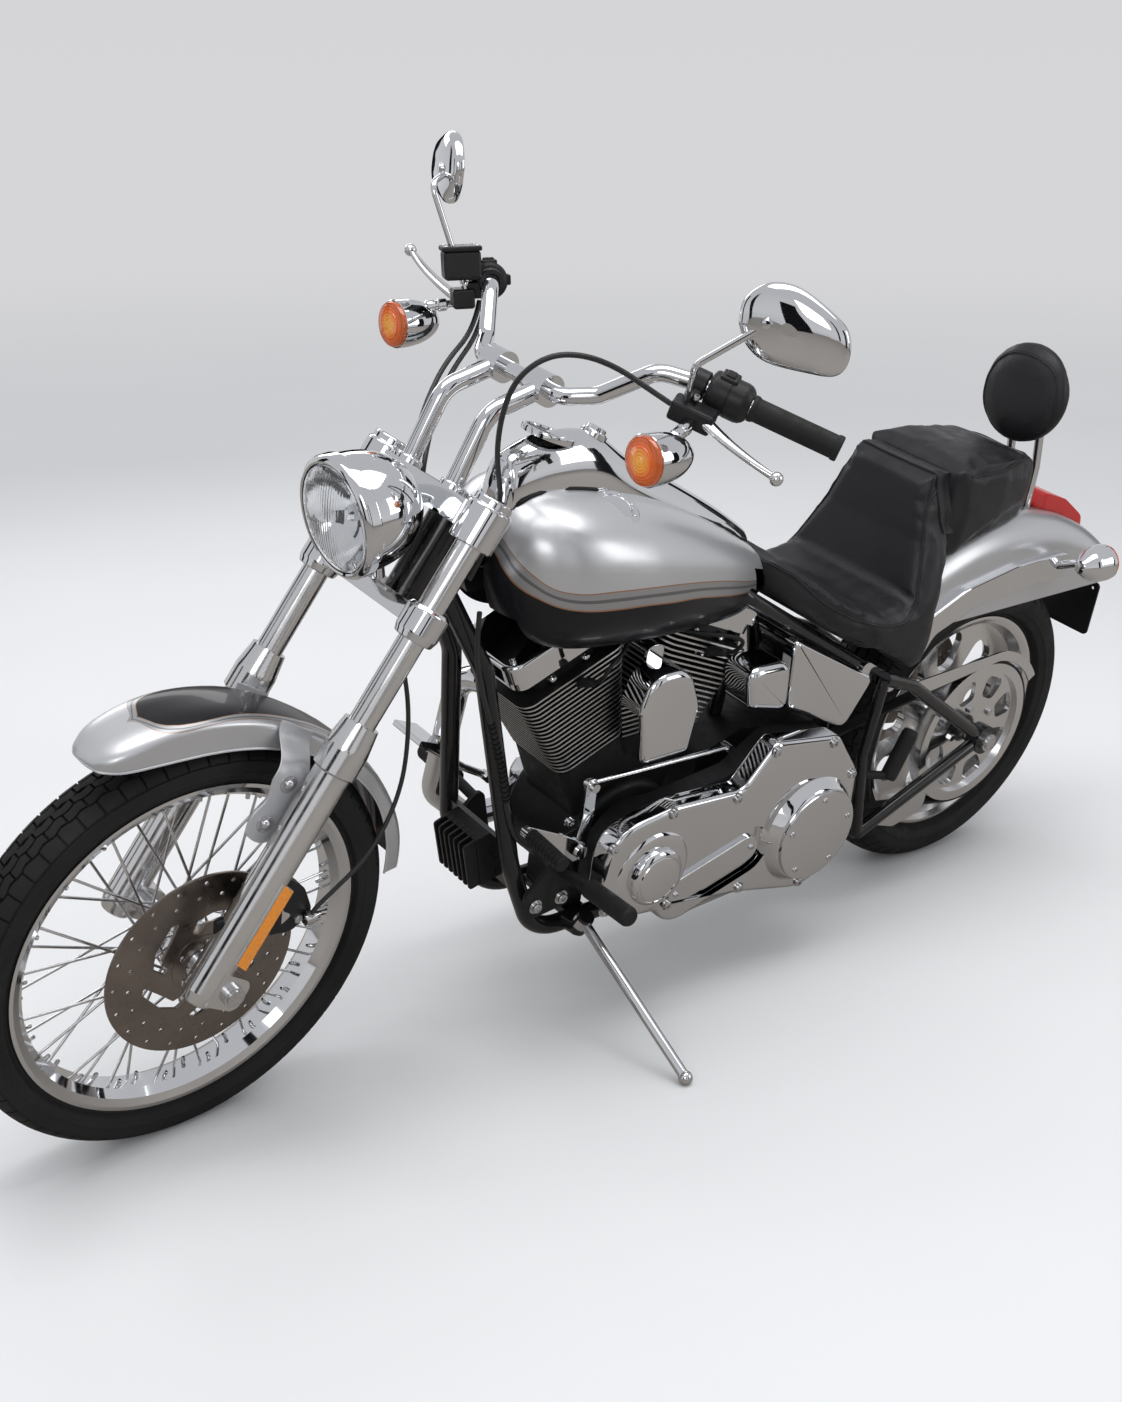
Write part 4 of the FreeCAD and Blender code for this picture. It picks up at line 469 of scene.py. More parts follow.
def threads(name, routes, radius, material, body, smooth=True):
    """Round strands along lists of points, as one curve piece; a smooth one bends between its points."""
    data = bpy.data.curves.new(name, "CURVE")
    data.dimensions = "3D"
    data.bevel_depth = radius
    data.bevel_resolution = 3
    data.use_fill_caps = True
    for route in routes:
        line = data.splines.new("NURBS" if smooth else "POLY")
        line.points.add(len(route) - 1)
        for point, place in zip(line.points, route):
            point.co = (*place, 1.0)
        if smooth:
            line.order_u = 3
            line.use_endpoint_u = True
            line.resolution_u = 6
    made = bpy.data.objects.new(name, data)
    bpy.context.scene.collection.objects.link(made)
    data.materials.append(material)
    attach(made, body)
    return made


joined("plug_boots", boot_shapes, rubber_black, "chassis")
plug_leads = []
for tip, far in ((CYLINDER_TIP, (940, 60, 745)), (-CYLINDER_TIP, (866, 66, 748))):
    foot, along = plug_line(tip)
    end = on_machine(*far)
    start = foot + along * 0.056
    plug_leads.append([start, start + along * 0.02, start + along * 0.036 + ABOVE * 0.03,
                       start.lerp(end, 0.6) + LEFT * 0.028, end + ABOVE * -0.03 + LEFT * 0.006, end])
threads("plug_leads", plug_leads, 0.0036, rubber_black, "chassis")

CASE_SCREWS = ((1034, 402), (1000, 432), (1046, 366))
screws("case_screws", [(on_machine(x, 92, z), LEFT) for x, z in CASE_SCREWS], 8, 6, "socket", bright_steel,
       "chassis", washer=11)

# Primary cover and the covers on the left
# Chromed castings over the primary chain, the coil, the horn and the oil. Socket screws run round the edge of
# the primary, and a round cover, a turned cap and a sunk lid give access.


def corner_arc(here, to_last, to_next, radius, most, steps):
    """Places round a corner from one leg to the next, which use up at most a share of either leg."""
    reach = min(radius / math.tan(to_last.angle(to_next) / 2), most * to_last.length, most * to_next.length)
    start, end = here + to_last.normalized() * reach, here + to_next.normalized() * reach
    shares = [step / steps for step in range(steps + 1)]
    return [start * (1 - share) ** 2 + here * 2 * share * (1 - share) + end * share ** 2 for share in shares]


def rounded(corners, steps=6):
    """A closed outline whose (x, z, radius) corners are turned off."""
    outline = []
    for index, (x, z, radius) in enumerate(corners):
        here = Vector((x, z))
        before = Vector(corners[index - 1][:2]) - here
        after = Vector(corners[(index + 1) % len(corners)][:2]) - here
        outline += corner_arc(here, before, after, radius, 0.49, steps)
    return outline


def inset(outline, amount):
    """The outline moved inwards, or outwards by a negative amount."""
    count = len(outline)
    area = sum(outline[i - 1].x * outline[i].y - outline[i].x * outline[i - 1].y for i in range(count))
    turn = 1 if area > 0 else -1
    moved = []
    for index, here in enumerate(outline):
        along = (outline[(index + 1) % count] - outline[index - 1]).normalized()
        moved.append(here + Vector((-along.y, along.x)) * turn * amount)
    return moved


def lofted(rings):
    """Points and faces of a skin through rings of as many points."""
    count = len(rings[0])
    points = [Vector(point) for ring in rings for point in ring]
    faces = []
    for row in range(len(rings) - 1):
        for i in range(count):
            j = (i + 1) % count
            faces.append((row * count + i, row * count + j, (row + 1) * count + j, (row + 1) * count + i))
    faces.append(tuple(range(count)))
    faces.append(tuple(range((len(rings) - 1) * count, len(rings) * count)))
    return points, faces


def plate(outline, y_from, y_to, edge=0.0, steps=5):
    """A flat piece of an outline seen from the side, its outer face's rim rounded off, in millimetres."""
    toward = math.copysign(1, y_to - y_from)
    rows = [(0.0, y_from)]
    for step in range(steps + 1):
        turn = math.pi / 2 * step / steps
        rows.append((edge * (1 - math.cos(turn)), y_to - toward * edge * (1 - math.sin(turn))))
    if edge < 0.01:
        rows = [(0.0, y_from), (0.0, y_to)]
    return lofted([[Vector((place.x, y, place.y)) / 1000 for place in inset(outline, amount)]
                   for amount, y in rows])


def slotted(ends, radius, steps=12):
    """An outline with round ends about two places."""
    near, far = (Vector(end) for end in ends)
    heading = math.atan2(far.y - near.y, far.x - near.x)
    outline = []
    for centre, start in ((near, heading + math.pi / 2), (far, heading - math.pi / 2)):
        for step in range(steps + 1):
            turn = start + math.pi * step / steps
            outline.append(centre + Vector((math.cos(turn), math.sin(turn))) * radius)
    return outline


def circled(x, z, radius, steps=24):
    """A round outline."""
    return [Vector((x, z)) + Vector(circle_place(radius, i / steps)) for i in range(steps)]


def pierced(outline, holes, y_low, y_high, edge):
    """A plate with holes, seen from the side, every rim rounded by an edge radius, in millimetres."""
    data = bpy.data.curves.new("pierced", "CURVE")
    data.dimensions = "2D"
    data.fill_mode = "BOTH"
    data.extrude = ((y_high - y_low) / 2 - edge) / 1000
    data.bevel_depth = edge / 1000
    data.bevel_resolution = 4 if edge > 2 else 1
    for ring in [inset(outline, edge)] + [inset(hole, -edge) for hole in holes]:
        line = data.splines.new("POLY")
        line.points.add(len(ring) - 1)
        for point, place in zip(line.points, ring):
            point.co = (place.x / 1000, place.y / 1000, 0, 1)
        line.use_cyclic_u = True
    flat = bpy.data.objects.new("pierced", data)
    bpy.context.scene.collection.objects.link(flat)
    mesh = bpy.data.meshes.new_from_object(flat)
    middle = (y_low + y_high) / 2000
    points = [Vector((vertex.co.x, middle - vertex.co.z, vertex.co.y)) for vertex in mesh.vertices]
    faces = [tuple(face.vertices) for face in mesh.polygons]
    bpy.data.objects.remove(flat)
    bpy.data.curves.remove(data)
    bpy.data.meshes.remove(mesh)
    return points, faces


def disc_on(x, y, z, profile, sides=64):
    """A turned boss on the left side at a place, from (radius, height) corners in millimetres."""
    points, faces = turned(mm(profile), sides)
    return points, faces, machine @ Matrix.Translation(Vector((x, y, z)) / 1000) @ Matrix.Rotation(
        math.radians(-90), 4, "X")


PRIMARY_BACK, PRIMARY_FACE = 150, 195
PRIMARY_EDGE = 9
CRANK_X = CRANK[0]
PRIMARY_OUTLINE = ((CRANK_X + 122, 256, 76), (CRANK_X + 124, 428, 84), (CRANK_X - 20, 446, 60),
                   (736, 436, 30), (674, 512, 26), (512, 486, 30), (446, 400, 50), (430, 236, 100),
                   (530, 168, 90), (700, 212, 80))
LID_ENDS, LID_HOLE = ((848, 262), (700, 302)), 40
CAP_AT = (CRANK_X + 20, 327)
DERBY_MIDDLE = (552, 304)
primary_shapes = [(*pierced(rounded(PRIMARY_OUTLINE, 10), [slotted(LID_ENDS, LID_HOLE)],
                            PRIMARY_BACK, PRIMARY_FACE, PRIMARY_EDGE), machine),
                  (*plate(slotted(LID_ENDS, LID_HOLE + 8), PRIMARY_BACK + 10, PRIMARY_FACE - 10), machine),
                  (*plate(slotted(LID_ENDS, LID_HOLE - 13),
                          PRIMARY_FACE - 12, PRIMARY_FACE - 3, 2.5), machine),
                  disc_on(DERBY_MIDDLE[0], PRIMARY_FACE, DERBY_MIDDLE[1],
                          [(112, -10), (108, -3), (102, 5), (97, 12), (93, 17), (91, 19),
                           (89, 19.5), (90, 20), (90, 24), (89, 26), (86, 27), (60, 28), (0, 28.5)]),
                  disc_on(CAP_AT[0], PRIMARY_FACE, CAP_AT[1],
                          [(84, -10), (82, -4), (78, 1), (72, 4.5), (64, 5.5), (55, 5.5), (54, 6),
                           (53.5, 12), (52, 16), (48, 19), (44.5, 20.5), (43.5, 19.5), (42, 19.5), (41, 21),
                           (34, 23), (0, 24)])]
primary = joined("primary_casting", primary_shapes, chrome, "chassis", weighted=True)
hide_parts("primary_cover")
PRIMARY_SCREWS = ((1022, 282), (1024, 404), (900, 437), (752, 424), (676, 497), (530, 478), (462, 396),
                  (450, 262), (548, 188), (706, 226), (880, 248))
screws("primary_screws", [(on_machine(x, PRIMARY_FACE - 1.5, z), LEFT) for x, z in PRIMARY_SCREWS], 7.5, 6,
       "socket", bright_steel, "chassis", washer=11)
derby_spots = []
for step in range(5):
    across, rise = circle_place(74, (step + 0.25) / 5)
    spot = (DERBY_MIDDLE[0] + across, PRIMARY_FACE + 26.5, DERBY_MIDDLE[1] + rise)
    derby_spots.append((on_machine(*spot), LEFT))
screws("derby_screws", derby_spots, 5.5, 3, "socket", bright_steel, "chassis")
LID_SCREWS = ((858, 259), (690, 305))
screws("lid_screws", [(on_machine(x, PRIMARY_FACE - 3.2, z), LEFT) for x, z in LID_SCREWS], 5, 3.5, "socket",
       bright_steel, "chassis")

HORN_OUTLINE = ((850, 520, 14), (948, 520, 14), (968, 622, 40), (950, 682, 50), (872, 682, 50),
                (838, 606, 40))
HORN_BRACKET = ((890, 640, 6), (926, 640, 6), (926, 708, 16), (890, 708, 16))
horn_stay = (*turned(mm([(0, 0), (9, 0), (9, 76), (0, 76)]), 20), stood(on_machine(908, 20, 696), LEFT))
horn = joined("horn_casting", [(*plate(rounded(HORN_OUTLINE, 8), 102, 158, 13), machine),
                               (*plate(rounded(HORN_BRACKET), 96, 102, 1), machine), horn_stay], chrome,
              "chassis", weighted=True)
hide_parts("horn_cover")

COIL_OUTLINE = ((612, 534, 24), (708, 560, 20), (728, 640, 28), (624, 636, 30))
coil = joined("coil_casting", [(*plate(rounded(COIL_OUTLINE, 8), 84, 150, 16), machine)], chrome, "chassis",
              weighted=True)
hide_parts("coil_cover")

# The oil tank is a chromed pressing as wide as the frame, with a rolled edge on each side.
OIL_OUTLINE = ((606, 668, 14), (372, 540, 20), (430, 446, 26), (594, 526, 20))
OIL_TAB = ((500, 560, 4), (530, 560, 4), (530, 640, 4), (500, 640, 4))
oil = joined("oil_pressing", [(*plate(rounded(OIL_OUTLINE, 8), 0, 132, 10), machine),
                              (*plate(rounded(OIL_OUTLINE, 8), 0, -98, 10), machine),
                              (*plate(rounded(OIL_TAB), 92, 98, 1), machine)], chrome, "chassis",
             weighted=True)
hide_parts("oil_tank")

# The shift lever is a chromed blade with a rubber peg for the toe. Its arm pulls a long rod to the gearbox.
LEVER_OUTLINE = ((1030, 358, 10), (1056, 356, 10), (1100, 396, 30), (1172, 440, 8), (1160, 456, 8),
                 (1086, 418, 40), (1034, 388, 10))
ARM_OUTLINE = ((1028, 366, 10), (1056, 366, 10), (1042, 430, 60), (1042, 504, 9), (1020, 504, 9),
               (1018, 430, 60))


def bar_between(start, end, radius, sides=20):
    """A round bar between two places of the upright machine, in millimetres."""
    reach = (on_machine(*end) - on_machine(*start)).length
    points, faces = turned([(0, 0), (radius / 1000, 0), (radius / 1000, reach), (0, reach)], sides)
    return points, faces, stood(on_machine(*start), on_machine(*end) - on_machine(*start))


shift = joined("shift_levers", [(*plate(rounded(LEVER_OUTLINE), 130, 138, 1.5), machine),
                                (*plate(rounded(ARM_OUTLINE), 124, 132, 1.5), machine),
                                bar_between((1042, 120, 372), (1042, 142, 372), 12),
                                bar_between((1162, 130, 446), (1162, 150, 446), 7),
                                bar_between((1031, 118, 492), (1031, 142, 492), 8),
                                bar_between((1031, 122, 492), (716, 118, 476), 4.5),
                                bar_between((716, 106, 476), (716, 128, 476), 8)], chrome, "chassis",
               weighted=True)
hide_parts("shift_linkage")
toe_profile = [(0, 0), (11, 0), (13, 2)]
for ring in range(9):
    toe_profile += [(13, 4 + ring * 8.6), (13, 8.6 + ring * 8.6), (11.6, 9.4 + ring * 8.6),
                    (11.6, 11.8 + ring * 8.6)]
toe_profile += [(13, 82), (12, 85), (0, 85)]
joined("toe_rubber",
       [(*turned(mm(toe_profile), 28), stood(on_machine(1162, 148, 446), facing(machine, 0, 1, -0.06)))],
       rubber_black, "chassis")

# Wheels, discs and belt drive
# The front wheel is a chromed steel rim laced with wire, the rear one a pressed disc with round slots. The
# brake discs are ground steel that has browned, the belt is moulded rubber over cord.

dress(chrome, "front_wheel", "side_stand", "belt_guards", "fender_struts", "rear_signals", "sissy_bar")
polished = surface("polished_alloy", (0.74, 0.74, 0.745), 0.16, metal=1.0, mottle=(7.0, 0.05), uneven=0.4)
dress(polished, "rear_wheel", "rear_pulley", "fork_legs")
ground_steel = surface("ground_steel", (0.27, 0.235, 0.21), 0.32, metal=1.0, mottle=(18.0, 0.12))
machined_steel = surface("machined_steel", (0.6, 0.6, 0.61), 0.24, metal=1.0, mottle=(20.0, 0.08))
dress(machined_steel, "front_axle", "rear_axle")
belt_rubber = surface("belt_rubber", (0.013, 0.013, 0.013), 0.6, mottle=(12.0, 0.2), grain=(900.0, 0.0001),
                      specular=0.25)
dress(belt_rubber, "belt", "foot_pegs", "passenger_pegs", "grips")

# The fork is steered a little, so a place on it is written from the front axle: forward of the fork, left,
# and up along it.
fork_left = Vector(joints["front_wheel_spin"]["axis"]).normalized()
fork_up = Vector(joints["steering_turn"]["axis"]).normalized()
fork = standing(Vector(joints["front_wheel_spin"]["pos_m"]), fork_left.cross(fork_up), fork_left, fork_up)


def wheel_spots(frame_matrix, centre, y, radius, count):
    """Places in a ring round an axle, on its left or right by y, in millimetres."""
    spots = []
    for step in range(count):
        across, rise = circle_place(radius, step / count)
        spots.append(frame_matrix @ (Vector((centre[0] + across, y, centre[1] + rise)) / 1000))
    return spots


FORK_LEFT = facing(fork, 0, 1, 0)
screws("front_disc_screws", [(spot, FORK_LEFT) for spot in wheel_spots(fork, (0, 0), 64.4, 38, 5)], 5.5, 4,
       "socket", bright_steel, "front_wheel")
screws("pulley_screws", [(spot, LEFT) for spot in wheel_spots(machine, REAR_AXLE, 103, 58, 5)], 8, 6, "hex",
       bright_steel, "rear_wheel")
screws("rear_disc_screws", [(spot, RIGHT) for spot in wheel_spots(machine, REAR_AXLE, -80.4, 40, 5)], 6, 4,
       "socket", bright_steel, "rear_wheel")

# Brake discs are ground from steel plate, with swept windows round the hub and drilled holes.
DISC_R, DISC_BORE, DISC_T = 153, 26, 5
DISC_WINDOWS = 5


def at_turn(radius, degrees):
    """A place round a middle, by its turn in degrees."""
    return radius * math.cos(math.radians(degrees)), radius * math.sin(math.radians(degrees))


def brake_disc(name, node, body, frame_matrix, y):
    """A disc with its windows, holes and hub flange, at a distance from the middle of its wheel."""
    holes = [circled(0, 0, DISC_BORE, 40)]
    for index in range(DISC_WINDOWS):
        turn = 360 * index / DISC_WINDOWS
        swept = ((54, -22), (70, -10), (76, 16), (94, 34), (98, 26), (88, -2), (80, -20), (62, -30))
        holes.append(rounded([(*at_turn(radius, turn + lead), 4.0) for radius, lead in swept], 5))
        for step in range(4):
            for radius, lead in ((118, 0), (141, 5)):
                holes.append(circled(*at_turn(radius, turn + 18 * step + lead), 3.6, 12))
    disc = pierced(circled(0, 0, DISC_R, 144), holes, y - DISC_T / 2, y + DISC_T / 2, 0.4)
    hub = turned(mm([(27, -4), (47, -4), (49, 0), (49, 3.4), (47, 4), (30, 4), (27, 3)]), 48)
    middle = frame_matrix @ Matrix.Translation((0, y / 1000, 0)) @ Matrix.Rotation(math.radians(-90), 4, "X")
    made = joined(name, [(*disc, frame_matrix), (*hub, middle)], ground_steel, body)
    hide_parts(node)


rear_wheel_place = machine @ Matrix.Translation((0, 0, REAR_AXLE[1] / 1000))
brake_disc("front_disc", "front_brake_disc", "front_wheel", fork, 62)
brake_disc("rear_disc", "rear_brake_disc", "rear_wheel", rear_wheel_place, -78)

# Spoke nipples stand in the rim, where each wire ends.
SPOKES, RIM_SEAT = 40, 260
nipples = []
for index in range(SPOKES):
    side = 1 if index % 2 else -1
    lean = 58 if index % 4 < 2 else -58
    angle = math.tau * index / SPOKES
    turn = angle + math.radians(lean)
    foot = Vector((42 * math.cos(turn), side * 31, 42 * math.sin(turn)))
    tip = Vector((RIM_SEAT * math.cos(angle), side * 6, RIM_SEAT * math.sin(angle)))
    out = (tip - foot).normalized()
    base = fork @ ((tip - out * 17) / 1000)
    nipples.append((*turned(mm([(2.2, 0), (3.4, 1), (3.4, 15), (4.2, 17), (4.2, 22)]), 10),
                    stood(base, fork.to_3x3() @ out)))
joined("spoke_nipples", nipples, bright_steel, "front_wheel")
VALVE_TURN = math.radians(158)
valve_out = Vector((math.cos(VALVE_TURN), 0, math.sin(VALVE_TURN)))
joined("valve_stem", [(*turned(mm([(4, 0), (4, 26), (3, 27), (3, 36), (0, 36)]), 16),
                       stood(fork @ (valve_out * 0.256), fork.to_3x3() @ -valve_out))], rubber_black,
       "front_wheel")

# The pulley's teeth are a row of small bars across its band.
PULLEY_TEETH, PULLEY_TIP = 70, 154.0
tooth_shapes = []
for step in range(PULLEY_TEETH):
    angle = math.tau * step / PULLEY_TEETH
    out = Vector((math.cos(angle), 0, math.sin(angle)))
    aside = Vector((-math.sin(angle), 0, math.cos(angle)))
    corners = []
    for y in (86.5, 109.5):
        for across, radius in ((-3.2, PULLEY_TIP - 1.5), (3.2, PULLEY_TIP - 1.5), (2.0, PULLEY_TIP + 0.15),
                               (-2.0, PULLEY_TIP + 0.15)):
            corners.append((Vector((REAR_AXLE[0], y, REAR_AXLE[1])) + out * radius + aside * across) / 1000)
    faces = [(0, 1, 2, 3), (4, 7, 6, 5), (0, 4, 5, 1), (1, 5, 6, 2), (2, 6, 7, 3), (3, 7, 4, 0)]
    tooth_shapes.append((corners, faces, machine))
joined("pulley_teeth", tooth_shapes, polished, "rear_wheel")

# Tyres
# Black rubber on both rims: a smooth side wall with moulded rings, and a tread of separate blocks cut by
# zigzag grooves.

tyre_rubber = surface("tyre_rubber", (0.013, 0.013, 0.013), 0.6, mottle=(9.0, 0.3), grain=(700.0, 0.00012),
                      specular=0.22)


def crown(outer, width, share):
    """Radius of the tread at a share of the half width."""
    return outer - width * (0.0484 * share ** 2 + 0.1796 * share ** 4 - 0.008)


def tread_block(outer, width, depth, turn_from, turn_to, low, high, across=3, along=4):
    """One block between two edge lines, as share of the half width by turn, with walls to the groove."""
    points, faces = [], []
    for i in range(along + 1):
        turn = turn_from + (turn_to - turn_from) * i / along
        for j in range(across + 1):
            share = low(turn) + (high(turn) - low(turn)) * j / across
            radius = crown(outer, width, share)
            points.append(Vector((radius * math.cos(turn), share * width / 2,
                                  radius * math.sin(turn))) / 1000)
    row = across + 1
    for i in range(along):
        for j in range(across):
            first = i * row + j
            faces.append((first, first + 1, first + row + 1, first + row))
    rim = list(range(row)) + [i * row + across for i in range(1, along + 1)]
    rim += [along * row + j for j in range(across - 1, -1, -1)] + [i * row for i in range(along - 1, 0, -1)]
    middle = sum((points[index] for index in rim), Vector()) / len(rim)
    base = len(points)
    for index in rim:
        place = middle + (points[index] - middle) * 1.08
        inward = Vector((place.x, 0, place.z)).normalized()
        share = abs(points[index].y) * 2000 / width
        points.append(place - inward * (depth + 0.8 + 2.0 * share) / 1000)
    for i in range(len(rim)):
        j = (i + 1) % len(rim)
        faces.append((rim[i], rim[j], base + j, base + i))
    return points, faces


def zigzag(turn, pitches, swing):
    """A line that swings from side to side once in each pitch."""
    phase = (turn * pitches / math.tau) % 1.0
    return swing * (1 - 4 * abs(phase - 0.5))


def tyre(name, node, body, frame_matrix, outer, width, rim_r, rim_half, pitches, depth, rows):
    """A tyre by its rim, with rows of blocks as edges, swings of the edges and phase, in shares."""
    half = width / 2
    side_r = outer - 0.22 * width
    wall = [(rim_r - 12, rim_half - 3), (rim_r + 1, rim_half + 0.5),
            (rim_r + 4, rim_half + 2.5), (rim_r + 7, rim_half + 2.2),
            (rim_r + 0.25 * (side_r - rim_r), rim_half + 0.62 * (half - rim_half)),
            (rim_r + 0.42 * (side_r - rim_r), 0.94 * half), (rim_r + 0.5 * (side_r - rim_r), 0.965 * half),
            (rim_r + 0.52 * (side_r - rim_r), 0.985 * half),
            (rim_r + 0.58 * (side_r - rim_r), 0.988 * half), (rim_r + 0.6 * (side_r - rim_r), 0.975 * half),
            (rim_r + 0.8 * (side_r - rim_r), 0.99 * half), (side_r - 2, 1.0 * half),
            (side_r + 0.5, 0.992 * half)]
    shares = [0.985 - 0.985 * i / 12 for i in range(1, 13)]
    left_side = wall + [(crown(outer, width, share) - depth, share * half) for share in shares]
    profile = [(radius, -y) for radius, y in left_side[:-1]] + [left_side[-1]]
    profile += [(radius, y) for radius, y in reversed(left_side[:-1])]
    axle = frame_matrix @ Matrix.Rotation(math.radians(-90), 4, "X")
    shapes = [(*turned(mm(profile), 160), axle)]
    gap = 0.11
    for number, (low, high, swing_low, swing_high, phase) in enumerate(rows):
        for step in range(pitches):
            start = math.tau * (step + phase) / pitches
            end = start + math.tau * (1 - gap) / pitches
            for side in (1, -1):
                if low == -high and side < 0:
                    continue
                shift = 0.0 if side > 0 else math.pi / pitches

                def low_line(turn, side=side, shift=shift):
                    return side * low + zigzag(turn + shift, pitches, swing_low)

                def high_line(turn, side=side, shift=shift):
                    return side * high + zigzag(turn + shift, pitches, swing_high)

                points, faces = tread_block(outer, width, depth, start, end, low_line, high_line)
                shapes.append((points, faces, frame_matrix))
    made = joined(name, shapes, tyre_rubber, body, sharp=28.0)
    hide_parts(node)


FRONT_ROWS = ((-0.13, 0.13, 0.05, 0.05, 0.0), (0.20, 0.50, 0.05, 0.05, 0.35), (0.57, 0.93, 0.05, 0.0, 0.7))
REAR_ROWS = ((-0.10, 0.10, 0.03, 0.03, 0.0), (0.16, 0.42, 0.03, 0.04, 0.3), (0.48, 0.72, 0.04, 0.03, 0.65),
             (0.78, 0.97, 0.03, 0.0, 0.9))
tyre("front_tread", "front_tyre", "front_wheel", fork, 342, 90, 281, 30, 64, 5.0, FRONT_ROWS)
tyre("rear_tread", "rear_tyre", "rear_wheel", rear_wheel_place, 320, 161, 234, 56, 56, 5.5, REAR_ROWS)

# Mudguards, tank and their paint
# Pressed steel in two coats: a silver with fine metal flake under clear lacquer, and gloss black below a grey
# band that thin copper lines edge. The front and rear guards have the same black on their crown.

SILVER = (0.58, 0.585, 0.60)
BAND_GREY, BAND_DARK, COPPER = (0.36, 0.36, 0.365), (0.17, 0.17, 0.175), (0.38, 0.20, 0.11)
GLOSS_BLACK = (0.008, 0.008, 0.010)


def line_curve(tree, factor, low, high, points, floor, ceiling):
    """A drawn line: heights at places between low and high, as a smooth curve from floor to ceiling."""
    share = wire(tree, "ShaderNodeMapRange", {0: factor, 1: low, 2: high, 3: 0.0, 4: 1.0}).outputs[0]
    node = wire(tree, "ShaderNodeFloatCurve", {"Factor": 1.0, "Value": share})
    curve = node.mapping.curves[0]
    for index, (place, height) in enumerate(points):
        spot = ((place - low) / (high - low), (height - floor) / (ceiling - floor))
        if index < 2:
            curve.points[index].location = spot
        else:
            curve.points.new(*spot)
    node.mapping.update()
    return wire(tree, "ShaderNodeMapRange",
                {0: node.outputs[0], 1: 0.0, 2: 1.0, 3: floor, 4: ceiling}).outputs[0]


def local(tree, place, matrix):
    """Coordinates of the upright machine or of the fork, in metres."""
    inside = wire(tree, "ShaderNodeMapping",
                  {"Vector": place, "Location": matrix.translation, "Rotation": matrix.to_euler()},
                  vector_type="TEXTURE").outputs[0]
    return wire(tree, "ShaderNodeSeparateXYZ", {0: inside}).outputs


def banded(tree, shader, tone, share):
    """Black below 0, a grey band with a dark middle between copper lines from 0 to 1, and silver above."""
    spread = wire(tree, "ShaderNodeMapRange", {0: share, 1: -1.0, 2: 2.0, 3: 0.0, 4: 1.0}).outputs[0]
    stops = ((-0.01, GLOSS_BLACK), (0.0, COPPER), (0.07, COPPER), (0.08, BAND_GREY), (0.44, BAND_GREY),
             (0.46, BAND_DARK), (0.62, BAND_DARK), (0.64, BAND_GREY), (0.93, BAND_GREY), (0.94, COPPER),
             (1.0, COPPER))
    bands = ramp(tree, spread, *[((place + 1) / 3, colour) for place, colour in stops])
    silver = sum_of(tree, "GREATER_THAN", share, 1.0)
    colour = wire(tree, "ShaderNodeMix", {0: silver, 6: bands, 7: tone}, data_type="RGBA").outputs[2]
    tree.links.new(colour, shader.inputs["Base Color"])
    painted = sum_of(tree, "GREATER_THAN", share, 0.0)
    tree.links.new(sum_of(tree, "MULTIPLY", painted, 0.75), shader.inputs["Metallic"])


TANK_FROM, TANK_TO = 0.66, 1.235
TANK_LOWER = ((0.66, 0.752), (0.76, 0.775), (0.828, 0.794), (0.887, 0.809), (0.944, 0.818), (0.997, 0.825),
              (1.06, 0.829), (1.124, 0.834), (1.157, 0.840), (1.18, 0.849), (1.199, 0.860), (1.21, 0.878),
              (1.216, 0.902), (1.235, 0.96))
TANK_UPPER = ((0.66, 0.766), (0.727, 0.788), (0.80, 0.813), (0.857, 0.829), (0.913, 0.842), (0.957, 0.850),
              (1.06, 0.860), (1.152, 0.866), (1.172, 0.873), (1.186, 0.884), (1.197, 0.896), (1.205, 0.911),
              (1.21, 0.935), (1.235, 0.99))


def tank_bands(tree, place, shader, tone):
    """The band along the tank's side, black below it and silver above."""
    inside = local(tree, place, machine)
    low = line_curve(tree, inside["X"], TANK_FROM, TANK_TO, TANK_LOWER, 0.7, 1.0)
    high = line_curve(tree, inside["X"], TANK_FROM, TANK_TO, TANK_UPPER, 0.7, 1.0)
    banded(tree, shader, tone, sum_of(tree, "DIVIDE", sum_of(tree, "SUBTRACT", inside["Z"], low),
                                      sum_of(tree, "SUBTRACT", high, low)))


def guard_bands(matrix, height, nose, inner, outer):
    """A black panel along the crown of a guard: half widths by degrees round its wheel."""
    def layers(tree, place, shader, tone):
        inside = local(tree, place, matrix)
        turn = sum_of(tree, "ARCTAN2", sum_of(tree, "SUBTRACT", inside["Z"], height), inside["X"])
        across = sum_of(tree, "ABSOLUTE", inside["Y"])
        low = line_curve(tree, turn, *nose, [(math.radians(d), w) for d, w in inner], -0.03, 0.08)
        high = line_curve(tree, turn, *nose, [(math.radians(d), w) for d, w in outer], -0.03, 0.08)
        banded(tree, shader, tone, sum_of(tree, "DIVIDE", sum_of(tree, "SUBTRACT", across, low),
                                          sum_of(tree, "SUBTRACT", high, low)))
    return layers


FRONT_PANEL = ((40, -0.03), (46.5, -0.004), (48, 0.016), (49, 0.030), (51, 0.041), (54, 0.047), (57, 0.048),
               (65, 0.043), (72, 0.040), (81, 0.034), (88, 0.027), (110, 0.024), (150, 0.024))
FRONT_LINE = ((40, -0.016), (45.5, 0.004), (47, 0.029), (48, 0.043), (50, 0.052), (53, 0.056), (57, 0.056),
              (64, 0.053), (71, 0.051), (80, 0.049), (86, 0.046), (110, 0.042), (150, 0.042))
REAR_PANEL = ((70, 0.034), (100, 0.036), (118, 0.032), (126, 0.020), (130, 0.0), (140, -0.03))
REAR_LINE = ((70, 0.050), (100, 0.052), (120, 0.048), (129, 0.036), (134, 0.008), (140, -0.016))
front_nose = (math.radians(40), math.radians(150))
rear_nose = (math.radians(70), math.radians(140))


